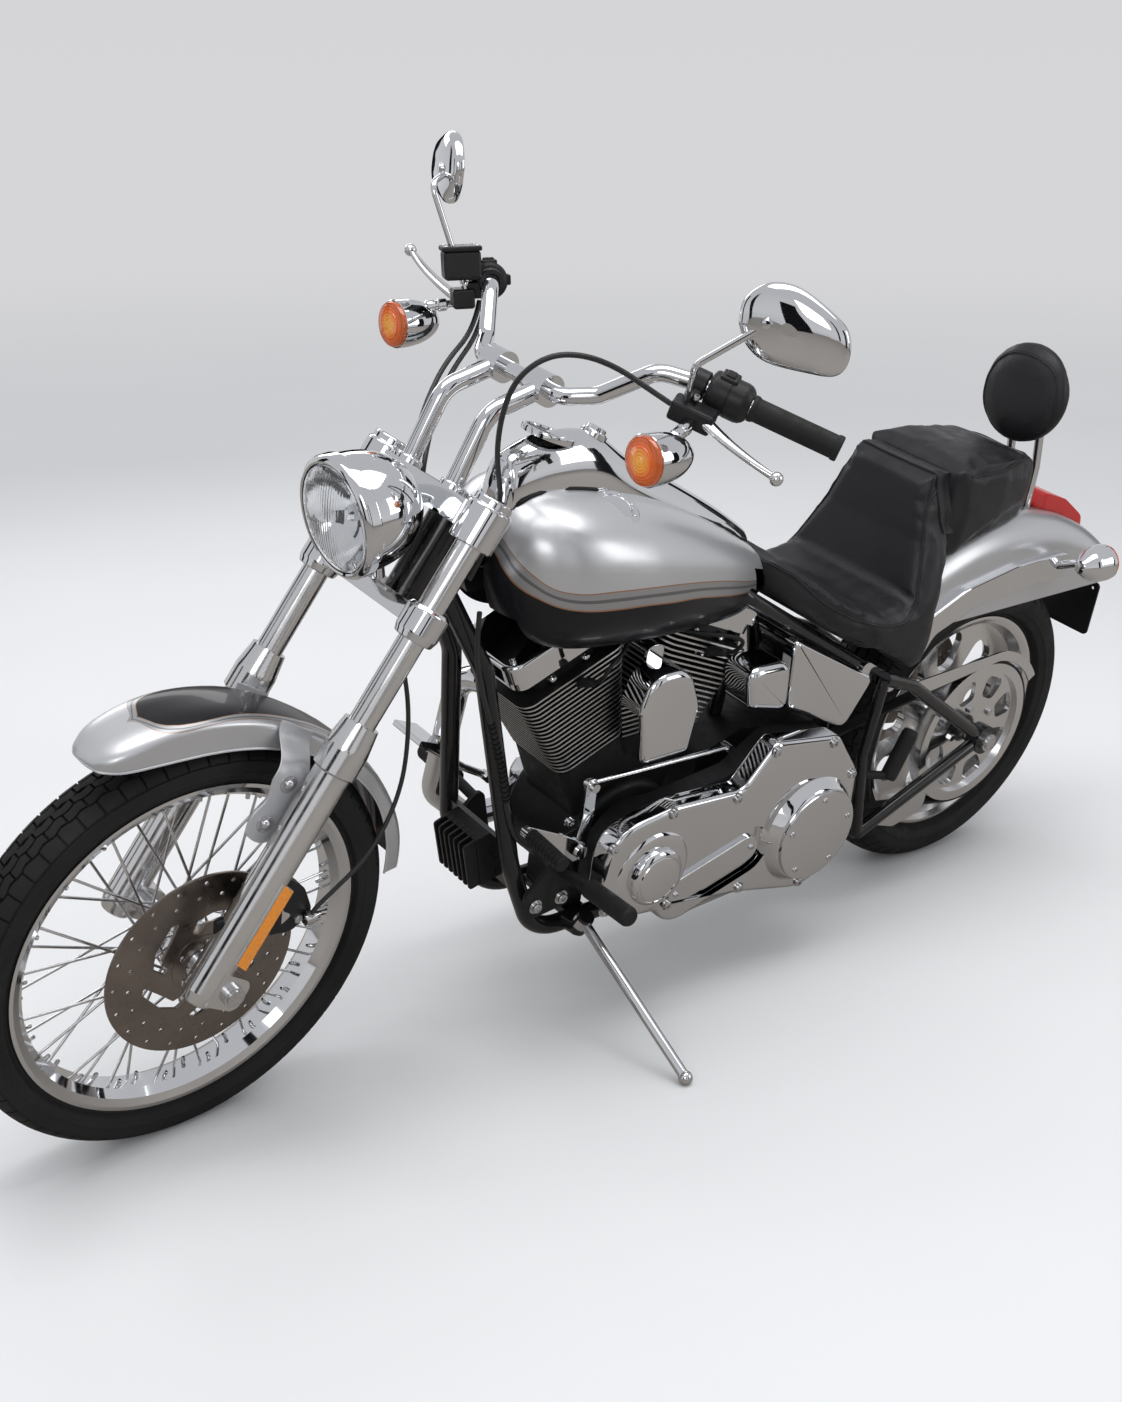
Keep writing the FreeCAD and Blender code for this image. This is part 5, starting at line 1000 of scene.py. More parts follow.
def painted(name, bands=None):
    """The silver coat, with bands over it or plain."""
    return surface(name, SILVER, 0.33, metal=0.55, coat=0.2, mottle=(2.0, 0.02), uneven=0.05, specular=0.15,
                   layers=bands)


dress(painted("tank_paint", tank_bands), "fuel_tank")
dress(painted("rear_guard_paint",
              guard_bands(machine, REAR_AXLE[1] / 1000, rear_nose, REAR_PANEL, REAR_LINE)), "rear_fender")
guard_paint = painted("front_guard_paint", guard_bands(fork, 0.0, front_nose, FRONT_PANEL, FRONT_LINE))
silver_paint = painted("silver_paint")
dress(chrome, "brake_pedal")

# Front mudguard
# One steel pressing close over the tyre, its edge rolled and both faces painted. A bent stay carries it on
# each side, bolted to the slider.

RAKE = 32.5
UPRIGHT_AXLE = (1692, 0, 338.4)
raked_back = Matrix.Rotation(math.radians(RAKE), 4, "Y")
steered = fork @ raked_back @ Matrix.Translation(-Vector(UPRIGHT_AXLE) / 1000)


def on_fork(x, y, z):
    """A place from the front axle: forward of the fork, left, and up along it, in millimetres."""
    return fork @ (Vector((x, y, z)) / 1000)


def on_steering(x, y, z):
    """A place of the upright machine, in millimetres, on what turns with the bars."""
    return steered @ (Vector((x, y, z)) / 1000)


def eased(before, here, there, after, t):
    """A place between here and there on a smooth curve through all four."""
    return 0.5 * (2 * here + (there - before) * t + (2 * before - 5 * here + 4 * there - after) * t ** 2
                  + (3 * here - before - 3 * there + after) * t ** 3)


def through(stations, steps):
    """Stations with evenly spaced ones between them along smooth curves."""
    found = []
    for index in range(len(stations) - 1):
        quad = [stations[max(index - 1, 0)], stations[index], stations[index + 1],
                stations[min(index + 2, len(stations) - 1)]]
        for step in range(steps):
            found.append([eased(*four, step / steps) for four in zip(*quad)])
    found.append(list(stations[-1]))
    return found


# Stations round the front tyre: degrees, crown radius, radius of the lower edge, half width.
GUARD_STATIONS = ((66.2, 402, 398, 8), (66.6, 403, 393, 22), (68, 405, 385, 38), (73, 409, 373, 53),
                  (84, 411, 359, 58), (100, 402, 352, 59), (120, 386, 350, 59), (145, 380, 350, 59),
                  (162, 376, 340, 57), (174, 369, 332, 50))
GUARD_STEEL, GUARD_SHOULDER = 2.5, 17.0


def guard_ring(degrees, crown_r, edge_r, half):
    """The section of the pressing at a turn, outer skin and back inside it."""
    angle = math.radians(degrees)
    outer = []
    shoulder = max(crown_r - GUARD_SHOULDER, edge_r + 1.0)
    for share in (0.0, 0.5):
        outer.append((-half, edge_r + (shoulder - edge_r) * share))
    for step in range(25):
        turn = math.pi * step / 24
        outer.append((-half * math.copysign(abs(math.cos(turn)) ** 0.72, math.cos(turn)),
                      shoulder + (crown_r - shoulder) * math.sin(turn) ** 0.9))
    for share in (0.5, 0.0):
        outer.append((half, edge_r + (shoulder - edge_r) * share))
    shrink = 1 - GUARD_STEEL / max(half, 6.0)
    inner = [(y * shrink, radius - (GUARD_STEEL if radius > edge_r + 1 else 0))
             for y, radius in reversed(outer)]
    place = Vector(UPRIGHT_AXLE)
    return [(place + Vector((radius * math.cos(angle), y, radius * math.sin(angle)))) / 1000
            for y, radius in outer + inner]


guard_rows = through(GUARD_STATIONS, 6)
guard = joined("front_guard", [(*lofted([guard_ring(*row) for row in guard_rows]), steered)], guard_paint,
               "steering", sharp=50, weighted=True)
edge_lines = []
for side in (-1, 1):
    line = []
    for degrees, _, edge_r, half in guard_rows:
        across, rise = at_turn(edge_r, degrees)
        line.append(on_steering(UPRIGHT_AXLE[0] + across, side * (half + 0.4), UPRIGHT_AXLE[2] + rise))
    edge_lines.append(line)
guard_edge = list(reversed(edge_lines[0])) + edge_lines[1]
# Stay rows up the fork: height, distance out, front and back.
STAY_ROWS = ((210, 90, 52, 62), (214, 90, 40, 78), (224, 90, 33, 88), (240, 90, 31, 91), (256, 90, 30, 88),
             (272, 90, 30, 82), (288, 90, 31, 86), (304, 90, 32, 92), (318, 90, 33, 92), (332, 86, 34, 92),
             (346, 77, 36, 95), (358, 67, 38, 99), (368, 61, 40, 103), (382, 60, 42, 106))
stay_shapes = []
for side in (1, -1):
    rings = []
    for height, y, x_low, x_high in through(STAY_ROWS, 2):
        rings.append([on_fork(x, side * (y + out), height) for x, out in
                      ((x_low, 0), (x_low + 1, 1.6), (x_high - 1, 1.6), (x_high, 0), (x_high - 1, -1.6),
                       (x_low + 1, -1.6))])
    stay_shapes.append((*lofted(rings), Matrix()))
guard_stays = joined("guard_stays", stay_shapes, silver_paint, "steering", sharp=40)
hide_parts("front_fender")
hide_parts("front_fender")
threads("guard_bead", [guard_edge], 0.0019, silver_paint, "steering", smooth=False)
stay_bolts = [(on_fork(62, side * 91.5, height), facing(fork, 0, side, 0)) for side in (1, -1)
              for height in (240, 306)]
screws("stay_bolts", stay_bolts, 8, 6, "dome", bright_steel, "steering", washer=14)
guard_rivets = []
rivet_along, rivet_up = at_turn(372, 111)
for side in (1, -1):
    guard_rivets.append((on_steering(UPRIGHT_AXLE[0] + rivet_along, side * 59.4, UPRIGHT_AXLE[2] + rivet_up),
                         facing(steered, 0, side, 0)))
screws("guard_rivets", guard_rivets, 6, 4, "dome", bright_steel, "steering")

# Dash along the tank
# A chromed cover over the wiring, highest behind the steering head, with a black moulding along its foot. The
# speedometer looks up out of it, with the switch behind that, and the filler has its own turned cap.

DASH_STATIONS = ((1196, 935, 982, 14), (1192, 930, 1000, 28), (1184, 922, 1020, 35), (1172, 910, 1036, 40),
                 (1110, 900, 1056, 45), (1020, 880, 1050, 45), (940, 850, 999, 44), (830, 800, 940, 41),
                 (730, 770, 882, 36), (664, 770, 838, 28), (656, 775, 826, 20))
DASH_WAIST, DASH_SQUARE, DASH_SIDES = 0.45, 2.2, 48
dash_rings = []
for x, low, high, half in through(DASH_STATIONS, 5):
    waist = low + DASH_WAIST * (high - low)
    ring = []
    for step in range(DASH_SIDES):
        turn = math.tau * (step + 0.5) / DASH_SIDES
        across, rise = math.cos(turn), math.sin(turn)
        reach = high - waist if rise > 0 else waist - low
        ring.append(Vector((x, half * math.copysign(abs(across) ** (2 / DASH_SQUARE), across),
                            waist + reach * math.copysign(abs(rise) ** (2 / DASH_SQUARE), rise))) / 1000)
    dash_rings.append(ring)
dash = joined("dash_shell", [(*lofted(dash_rings), machine)], chrome, "chassis", sharp=60)
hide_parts("tank_console")


def laid(tree_of, route, spacing, lift):
    """Evenly spaced places of a smooth line through a route, put onto a cushion."""
    places = []
    for index in range(len(route) - 1):
        before = route[max(index - 1, 0)]
        after = route[min(index + 2, len(route) - 1)]
        here, there = route[index], route[index + 1]
        count = max(2, int((there - here).length / spacing))
        places += [eased(before, here, there, after, step / count) for step in range(count)]
    places.append(route[-1])
    found = []
    for place in places:
        spot, normal, _, _ = tree_of.find_nearest(place)
        found.append((spot + normal * lift, normal))
    return found


tank_tree = BVHTree.FromObject(frame["nodes"]["fuel_tank"], bpy.context.evaluated_depsgraph_get())
DASH_FOOT = ((1200, 12, 1010), (1196, 30, 1004), (1184, 40, 982), (1137, 43, 981), (1069, 44, 977),
             (996, 44, 959), (920, 44, 934), (844, 42, 905), (804, 42, 890), (740, 38, 862), (690, 32, 842),
             (664, 24, 828))
foot_routes = []
for side in (1, -1):
    route = [on_machine(x, side * y, z) for x, y, z in DASH_FOOT]
    foot_routes.append([spot for spot, _ in laid(tank_tree, route, 0.012, 0.0012)])
threads("dash_moulding", foot_routes, 0.0034, rubber_black, "chassis", smooth=False)
DIAL_AT = (1100, 0, 1055)
dial_up = facing(machine, -0.34, 0, 1)
dial_place = stood(on_machine(*DIAL_AT), dial_up)
joined("dial_ring", [(*turned(mm([(36, -6), (42, -6), (43, 0), (42, 3.5), (39.5, 4.5), (37.5, 3.5),
                                  (37, 1)]), 56), dial_place)], chrome, "chassis", weighted=True)
joined("dial_face", [(*turned(mm([(37, 0.5), (37, 1.2), (0, 1.2)]), 48), dial_place)], satin_black, "chassis")
DIAL_STEPS, DIAL_SWEEP, MARK_OUT = 24, 260, 33
mark_shapes = []
for step in range(DIAL_STEPS + 1):
    out = Vector((*at_turn(1.0, DIAL_SWEEP * (step / DIAL_STEPS - 0.5)), 0))
    near, far = out * (MARK_OUT - (6.5 if step % 2 == 0 else 3.5)), out * MARK_OUT
    aside = Vector((-out.y, out.x, 0)) * 0.5
    mark_shapes.append([corner + Vector((0, 0, 1.5)) for corner in (near - aside, far - aside, far + aside,
                                                                    near + aside)])
needle = [Vector(corner) for corner in ((-1.4, -8, 2.4), (1.4, -8, 2.4), (0.5, 28, 2.4), (-0.5, 28, 2.4))]
dial_marks = [([corner / 1000 for corner in corners], [(0, 1, 2, 3)], dial_place)
              for corners in mark_shapes + [needle]]
dial_white = surface("dial_white", (0.75, 0.74, 0.70), 0.5)
joined("dial_marks", dial_marks, dial_white, "chassis")
joined("switch_knob", [(*turned(mm([(22, -8), (22, 0), (20, 2), (17, 2.5), (16, 8), (13, 10), (0, 10.5)]),
                                40), stood(on_machine(1010, 0, 1046), facing(machine, -0.5, 0, 1)))],
       chrome, "chassis", weighted=True)

CAP_MIDDLE, CAP_OUT = (1022, 82, 952), facing(machine, 0, 0.42, 1)
cap_place = stood(on_machine(*CAP_MIDDLE), CAP_OUT)
cap_spots = [(cap_place @ (Vector((*circle_place(32.5, i / 8), 5.4)) / 1000), CAP_OUT) for i in range(8)]
screws("cap_screws", cap_spots, 2.2, 1.2, "dome", machined_steel, "chassis")
cap_shape = turned(mm([(39.5, -8), (40, 2), (39, 4.4), (37, 5.4), (28.5, 5.8), (27.8, 4.8), (26.5, 4.8),
                       (26, 6.2), (24, 7.6), (12, 8.4), (0, 8.6)]), 64)
cap = joined("fuel_cap", [(*cap_shape, cap_place)], chrome, "chassis", weighted=True)
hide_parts("filler_cap")

# Seat, passenger pad and backrest
# Moulded foam under black leather, pulled tight over a hidden pan. Twin rows of stitching follow the edge of
# the seating face, and a wide strap crosses in front of the passenger pad.

PAD_VOXEL, PAD_PRESSURE, PAD_STEPS = 0.005, 4.0, 20


def leather_folds(tree, place, shader, tone):
    """Pebbled grain with fine creases, in relief."""
    pebble = wire(tree, "ShaderNodeTexVoronoi", {"Vector": place, "Scale": 620.0}).outputs["Distance"]
    crease = wire(tree, "ShaderNodeTexNoise", {"Vector": place, "Scale": 22.0, "Detail": 8.0}).outputs["Fac"]
    fine = wire(tree, "ShaderNodeBump", {"Height": pebble, "Strength": 0.35, "Distance": 0.0004}).outputs[0]
    deep = wire(tree, "ShaderNodeBump",
                {"Height": crease, "Strength": 0.3, "Distance": 0.0015, "Normal": fine})
    tree.links.new(deep.outputs[0], shader.inputs["Normal"])


leather = surface("seat_leather", (0.012, 0.012, 0.014), 0.42, mottle=(9.0, 0.2), specular=0.35,
                  layers=leather_folds)
thread = surface("seat_thread", (0.010, 0.010, 0.011), 0.6, mottle=(200.0, 0.2))


def freeze(piece):
    """Turns a piece's modifiers into its mesh."""
    shown = piece.evaluated_get(bpy.context.evaluated_depsgraph_get())
    mesh = bpy.data.meshes.new_from_object(shown)
    old = piece.data
    piece.modifiers.clear()
    piece.data = mesh
    bpy.data.meshes.remove(old)


def stuffed(name, node, shrink, cap):
    """The cushion that stands for a soft solid: blown up a little from a smaller copy, then smoothed."""
    source = frame["nodes"][node]
    mesh = source.data.copy()
    pad = bpy.data.objects.new(name, mesh)
    bpy.context.scene.collection.objects.link(pad)
    bpy.context.view_layer.objects.active = pad
    work = bmesh.new()
    work.from_mesh(mesh)
    bmesh.ops.remove_doubles(work, verts=work.verts, dist=0.0002)
    work.to_mesh(mesh)
    work.free()
    remesh = pad.modifiers.new("even", "REMESH")
    remesh.mode = "VOXEL"
    remesh.voxel_size = PAD_VOXEL
    freeze(pad)
    mesh = pad.data
    normals = [vertex.normal.copy() for vertex in mesh.vertices]
    for vertex, normal in zip(mesh.vertices, normals):
        vertex.co -= normal * shrink
    start = [vertex.co.copy() for vertex in mesh.vertices]
    cloth = pad.modifiers.new("stuffing", "CLOTH")
    cloth.settings.use_pressure = True
    cloth.settings.uniform_pressure_force = PAD_PRESSURE
    cloth.settings.effector_weights.gravity = 0.0
    cloth.settings.quality = 4
    for step in range(1, PAD_STEPS + 1):
        bpy.context.scene.frame_set(step)
    freeze(pad)
    mesh = pad.data
    for vertex, before in zip(mesh.vertices, start):
        move = vertex.co - before
        if move.length > cap:
            vertex.co = before + move * (cap / move.length)
    bpy.context.scene.frame_set(1)
    smooth = pad.modifiers.new("smooth", "SMOOTH")
    smooth.factor, smooth.iterations = 0.5, 6
    finer = pad.modifiers.new("finer", "SUBSURF")
    finer.levels = finer.render_levels = 1
    freeze(pad)
    mesh = pad.data
    mesh.polygons.foreach_set("use_smooth", [True] * len(mesh.polygons))
    mesh.materials.clear()
    mesh.materials.append(leather)
    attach(pad, "chassis")
    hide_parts(node)
    return pad


seat = stuffed("seat_cover", "rider_seat", 0.004, 0.007)
pillion = stuffed("pillion_pad", "pillion_seat", 0.003, 0.006)
back_pad = stuffed("backrest_cushion", "backrest_pad", 0.003, 0.007)


def seam(name, pad, routes, spacing=0.006, twin=0.007):
    """A welt where two panels meet, with a row of stitches on each side of it."""
    tree_of = BVHTree.FromObject(pad, bpy.context.evaluated_depsgraph_get())
    welts, stitches = [], []
    for route in routes:
        line = laid(tree_of, [on_machine(*point) for point in route], spacing, 0.0004)
        welts.append([spot for spot, _ in line])
        for index in range(0, len(line) - 1):
            (here, normal), (there, _) = line[index], line[index + 1]
            aside = normal.cross(there - here).normalized()
            for side in (1, -1):
                for share in (0.0, 0.5):
                    start = here.lerp(there, share) + aside * side * twin / 2
                    end = here.lerp(there, share + 0.36) + aside * side * twin / 2
                    low, out, _, _ = tree_of.find_nearest(start)
                    high, out_too, _, _ = tree_of.find_nearest(end)
                    stitches.append([low + out * 0.0001, (low + high) / 2 + out * 0.0008,
                                     high + out_too * 0.0001])
    threads(name + "_welt", welts, 0.0016, leather, "chassis", smooth=False)
    threads(name + "_stitches", stitches, 0.00045, thread, "chassis", smooth=False)


SIDE_SEAM = ((662, 50, 806), (654, 66, 795), (633, 83, 785), (610, 104, 772), (582, 123, 748),
             (557, 139, 727), (529, 152, 711), (495, 158, 695), (460, 164, 682), (424, 168, 672),
             (391, 168, 668), (366, 166, 672), (349, 164, 690), (340, 160, 709), (330, 146, 748),
             (319, 126, 785), (314, 117, 818), (306, 111, 849), (290, 106, 872), (271, 101, 884))
RIDGE_SEAM = ((300, 110, 862), (280, 92, 905), (272, 76, 914), (266, 50, 918), (263, 20, 920), (263, 0, 920))


def mirrored(route):
    """The same way on the right side."""
    return [(x, -y, z) for x, y, z in route]


seam("seat_side", seat, [SIDE_SEAM, mirrored(SIDE_SEAM)])
seam("seat_ridge", seat, [RIDGE_SEAM, mirrored(RIDGE_SEAM)])
PILLION_SEAM = ((208, 116, 903), (171, 115, 900), (135, 113, 899), (98, 110, 900), (61, 102, 902),
                (20, 84, 902), (-18, 55, 898), (-32, 20, 894), (-34, 0, 893))
seam("pillion_edge", pillion, [PILLION_SEAM, mirrored(PILLION_SEAM)])
BACK_RING = (82, 78, 990)
ring_route = []
for step in range(33):
    angle = math.tau * step / 32
    ring_route.append((-38, math.copysign(BACK_RING[0] * abs(math.cos(angle)) ** 0.8, math.cos(angle)),
                       BACK_RING[2] + math.copysign(BACK_RING[1] * abs(math.sin(angle)) ** 0.8,
                                                    math.sin(angle))))
seam("backrest_edge", back_pad, [ring_route])

# The strap is a doubled band of the same leather, 42 mm wide, with its edges pressed thin.
STRAP = ((214, 124, 800), (222, 122, 845), (230, 120, 880), (238, 112, 908), (239, 84, 917), (239, 50, 919),
         (239, 0, 919))
STRAP_HALF, STRAP_T = 0.021, 0.0035


def strap(name, route, half, thick, pads):
    """A flat band over the pads, its edges pressed thinner."""
    trees = [BVHTree.FromObject(pad, bpy.context.evaluated_depsgraph_get()) for pad in pads]
    whole = [on_machine(*point) for point in route]
    whole += [on_machine(x, -y, z) for x, y, z in reversed(route[:-1])]
    centre = [spot for spot, _ in laid(trees[0], whole, 0.012, 0.0)]
    points, faces = [], []
    for index, here in enumerate(centre):
        ahead = centre[min(index + 1, len(centre) - 1)] - centre[max(index - 1, 0)]
        row = []
        for share in (-1.0, -0.93, -0.5, 0.0, 0.5, 0.93, 1.0):
            wanted = here + AHEAD * half * share
            best = min((tree.find_nearest(wanted) for tree in trees), key=lambda hit: hit[3])
            out = best[1]
            row.append((wanted + out * max(0.0, (best[0] - wanted).dot(out)), out, share))
        for spot, out, share in row:
            points.append(spot + out * (thick if abs(share) < 0.97 else thick * 0.35))
        for spot, out, share in row:
            points.append(spot - out * 0.001)
    for index in range(len(centre) - 1):
        low, high = index * 14, (index + 1) * 14
        for j in range(6):
            faces.append((low + j, low + j + 1, high + j + 1, high + j))
            faces.append((low + 7 + j, high + 7 + j, high + 8 + j, low + 8 + j))
        faces.append((low, high, high + 7, low + 7))
        faces.append((low + 6, low + 13, high + 13, high + 6))
    last = (len(centre) - 1) * 14
    faces.append((0, *range(7, 14), *range(6, 0, -1)))
    faces.append([last + i for i in (*range(7), *range(13, 6, -1))])
    joined(name, [(points, faces, Matrix())], leather, "chassis", sharp=50)


strap("pillion_strap", STRAP, STRAP_HALF, STRAP_T, (seat, pillion))

# Headlamp
# A chromed shell of spun brass with a pressed ring, on a bracket in front of the fork. A mirror bowl and a
# bulb show through its fluted glass.

dress(chrome, "lower_clamp", "upper_clamp", "risers", "handlebar")
LAMP_FRONT, LAMP_DIP, LAMP_R = (1473, 0, 980), 6.6, 90
lamp_ahead = facing(steered, math.cos(math.radians(LAMP_DIP)), 0, -math.sin(math.radians(LAMP_DIP)))
lamp_place = stood(on_steering(*LAMP_FRONT), lamp_ahead)
lamp_right = facing(steered, 0, -1, 0)


def bullet(radius, back, front, power=2.3, steps=22):
    """Corners of a long dome that closes behind and ends straight in front."""
    profile = [(0, back)]
    for step in range(1, steps + 1):
        share = math.sin(math.pi / 2 * step / steps)
        profile.append((radius * share, front + (back - front) * (1 - share ** power) ** (1 / power)))
    return profile


lamp_ring = [(LAMP_R - inward, height) for inward, height in (
    (4, -25), (2.5, -24), (0.5, -23), (0, -21), (0, -8), (1.5, -4), (5, -0.5), (8, 0.8), (11, 0), (12, -3),
    (12, -9))]
lamp_profile = bullet(LAMP_R - 4, -132, -26) + lamp_ring
lamp_bowl = [(LAMP_R - 12, -8), (70, -14), (62, -26), (52, -38), (40, -48), (26, -55), (14, -58), (0, -59)]
lamp_shapes = [(*turned(mm(lamp_profile), 72), lamp_place)]
bracket_top = Vector(LAMP_FRONT) / 1000 - Vector((0.07, 0, -0.008)) - Vector((0, 0, 0.060))
bracket_foot = steered.inverted() @ on_fork(38, 0, 615)
reach = (bracket_top - bracket_foot).length
lamp_post = (*turned([(0, 0), (0.015, 0), (0.015, reach), (0, reach)], 28),
             stood(steered @ bracket_foot, facing(steered, *(bracket_top - bracket_foot))))
lamp_shell = joined("lamp_shell", lamp_shapes + [lamp_post], chrome, "steering", weighted=True)
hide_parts("headlamp")
joined("lamp_bowl", [(*turned(mm(lamp_bowl), 72), lamp_place)], chrome, "steering", sharp=80)
joined("lamp_bulb_shield", [(*turned(mm([(0, -22), (7, -23), (11, -27), (12, -33), (12, -45), (6, -48),
                                         (6, -58)]), 32), lamp_place)], chrome, "steering")
clear_glass = surface("clear_glass", (0.96, 0.97, 0.98), 0.03, coat=0.0)
for node in clear_glass.node_tree.nodes:
    if node.type == "BSDF_PRINCIPLED":
        node.inputs["Transmission Weight"].default_value = 1.0
        node.inputs["IOR"].default_value = 1.45
FLUTES, GLASS_R, GLASS_RISE = 26, 77, 12
glass_points, glass_faces = [], []
GLASS_RINGS, GLASS_SIDES = 26, 160
for skin, base in ((0, 0.0), (1, -4.0)):
    for ring in range(GLASS_RINGS + 1):
        radius = GLASS_R * ring / GLASS_RINGS
        for i in range(GLASS_SIDES):
            turn = math.tau * i / GLASS_SIDES
            x, y = radius * math.cos(turn), radius * math.sin(turn)
            rise = GLASS_RISE * (1 - (radius / GLASS_R) ** 2) ** 0.8 + base
            fade = min(1.0, (GLASS_R - radius) / 8)
            flute = 0.9 * abs(math.sin(math.pi * FLUTES * x / (2 * GLASS_R))) * fade if skin == 1 else 0.0
            glass_points.append(Vector((x, y, rise + flute)) / 1000)
rows = GLASS_RINGS + 1
for skin in (0, 1):
    for ring in range(GLASS_RINGS):
        for i in range(GLASS_SIDES):
            j = (i + 1) % GLASS_SIDES
            first, after = (skin * rows + ring) * GLASS_SIDES, (skin * rows + ring + 1) * GLASS_SIDES
            glass_faces.append((first + i, first + j, after + j, after + i))
for i in range(GLASS_SIDES):
    j = (i + 1) % GLASS_SIDES
    outer, inner = (rows - 1) * GLASS_SIDES, (2 * rows - 1) * GLASS_SIDES
    glass_faces.append((outer + i, outer + j, inner + j, inner + i))
lamp_turn = Matrix((lamp_right, lamp_ahead.cross(lamp_right), lamp_ahead)).transposed().to_4x4()
lamp_turn.translation = on_steering(*LAMP_FRONT)
glass = joined("lamp_glass", [(glass_points, glass_faces, lamp_turn)], clear_glass, "steering",
               sharp=70)
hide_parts("headlamp_lens")

# Direction lamps
# Chromed bullets on short stems, two below the lever clamps and two on the struts. Their amber lenses are
# moulded with rings and pressed into the open end.

# The middle colour is a painted glow, lighter than the amber towards the rim.
AMBER, AMBER_MIDDLE = (0.80, 0.13, 0.004), (0.95, 0.42, 0.03)


def lens_glow(matrix, reach, middle, edge):
    """Painted glow: the amber is painted lighter and yellower in the middle, as if lit from behind, and
    darker towards the rim, with moulded rings in the relief.
    """
    def layers(tree, place, shader, tone):
        inside = local(tree, place, matrix)
        round_out = wire(tree, "ShaderNodeCombineXYZ", {0: inside["X"], 1: inside["Y"], 2: 0.0}).outputs[0]
        radius = wire(tree, "ShaderNodeVectorMath", {0: round_out}, operation="LENGTH").outputs["Value"]
        share = sum_of(tree, "DIVIDE", radius, reach)
        half_way = tuple(0.5 * (m + e) for m, e in zip(middle, edge))
        colour = ramp(tree, share, (0.0, middle), (0.42, half_way), (0.62, edge),
                      (0.97, tuple(0.6 * e for e in edge)))
        tree.links.new(colour, shader.inputs["Base Color"])
        waves = sum_of(tree, "SINE", sum_of(tree, "MULTIPLY", share, 46.0))
        relief = wire(tree, "ShaderNodeBump",
                      {"Height": waves, "Strength": 0.5, "Distance": 0.0006}).outputs[0]
        tree.links.new(relief, shader.inputs["Normal"])
    return layers


SIGNAL_R = 37
signal_profile = bullet(SIGNAL_R, -82, -8, 2.1) + [(SIGNAL_R, -7), (SIGNAL_R, -1), (SIGNAL_R - 1, 0), (0, 0)]


def signal_lens(name, body, place, direction):
    """A ringed amber lens at a place, facing a direction."""
    matrix = stood(place, direction)
    glow = surface(name + "_glow", AMBER, 0.08, coat=1.0,
                   layers=lens_glow(matrix, 0.034, AMBER_MIDDLE, AMBER))
    profile = [(34.5, -1), (34.5, 4), (33.5, 6), (30, 7.5), (24, 8.5), (21.5, 8.7), (21, 9.8), (12, 10.6),
               (0, 11)]
    return joined(name, [(*turned(mm(profile), 56), matrix)], glow, body)


def side_name(side):
    """The side of the machine that 1 or -1 stands for."""
    return "left" if side > 0 else "right"


BAR_INNER, BAR_OUTER = Vector((1046, 232, 1208)), Vector((930, 412, 1160))
PERCH_Y, GRIP_FROM = 240, 300


def bar_point(y, side):
    """A place of the bar's outer straight run, in upright millimetres, at a distance from the middle."""
    place = BAR_INNER + (BAR_OUTER - BAR_INNER) * ((y - BAR_INNER.y) / (BAR_OUTER.y - BAR_INNER.y))
    return Vector((place.x, side * place.y, place.z))


def hand_frame(side):
    """Where a lever clamp sits on the bar, and its outward, forward and upward directions."""
    inner = bar_point(PERCH_Y, side)
    out = (bar_point(GRIP_FROM, side) - inner).normalized()
    forward = (Vector((1, 0, 0)) - out * out.x).normalized()
    above = out.cross(forward).normalized()
    return inner, out, forward, above if above.z > 0 else -above


def hand_point(side, outward, ahead, high):
    """A place by a lever clamp, in upright millimetres."""
    inner, out, forward, above = hand_frame(side)
    return inner + out * outward + forward * ahead + above * high


def steer_bar(start, end, radius, sides=24, profile=None):
    """A round piece between two places of the upright steering, in millimetres."""
    start, end = Vector(start), Vector(end)
    reach = (end - start).length
    corners = profile or [(0, 0), (radius, 0), (radius, reach), (0, reach)]
    points, faces = turned(mm(corners), sides)
    return points, faces, stood(on_steering(*start), facing(steered, *(end - start)))


SIGNAL_FRONT, SIGNAL_REAR = (1182, 290, 1135), (-160, 192, 703)
signal_shapes = []
for side in (1, -1):
    face = Vector((SIGNAL_FRONT[0], side * SIGNAL_FRONT[1], SIGNAL_FRONT[2]))
    ahead = facing(steered, 1, 0, 0)
    signal_shapes.append((*turned(mm(signal_profile), 56), stood(on_steering(*face), ahead)))
    signal_lens("signal_lens_" + side_name(side), "steering", on_steering(*face), ahead)
    top, foot = hand_point(side, 12, 46, -30), face + Vector((-40, 0, 22))
    signal_shapes.append(steer_bar(top, foot, 6))
    low, high = foot + (top - foot) * 0.2, foot + (top - foot) * 0.66
    span = (high - low).length
    signal_shapes.append(steer_bar(low, high, 10, 28,
                                   [(0, 0), (8, 0), (10, 2), (10, span * 0.38), (7.5, span * 0.45),
                                    (7.5, span * 0.55), (10, span * 0.62), (10, span - 2), (8, span),
                                    (0, span)]))
    rear = on_machine(SIGNAL_REAR[0], side * SIGNAL_REAR[1], SIGNAL_REAR[2])
    signal_lens("rear_signal_lens_" + side_name(side), "chassis", rear, -AHEAD)
front_signals = joined("front_signal_shells", signal_shapes, chrome, "steering", weighted=True)
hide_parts("front_signals")

# Switches, clamps and levers
# Clamps cast in satin black grip the bar and hold the polished levers before the grips. The right one carries
# the cup for the brake fluid.


def block(low, high, radius, matrix):
    """A block with rounded edges between two corners, in millimetres."""
    work = bmesh.new()
    bmesh.ops.create_cube(work, size=1.0)
    low, high = Vector(low), Vector(high)
    for vertex in work.verts:
        vertex.co = Vector([(a + b) / 2 + (b - a) * c for a, b, c in zip(low, high, vertex.co)])
    bmesh.ops.bevel(work, geom=work.edges[:], offset=radius, segments=4, profile=0.5, affect="EDGES")
    work.verts.index_update()
    points = [vertex.co / 1000 for vertex in work.verts]
    faces = [tuple(vertex.index for vertex in face.verts) for face in work.faces]
    work.free()
    return points, faces, matrix


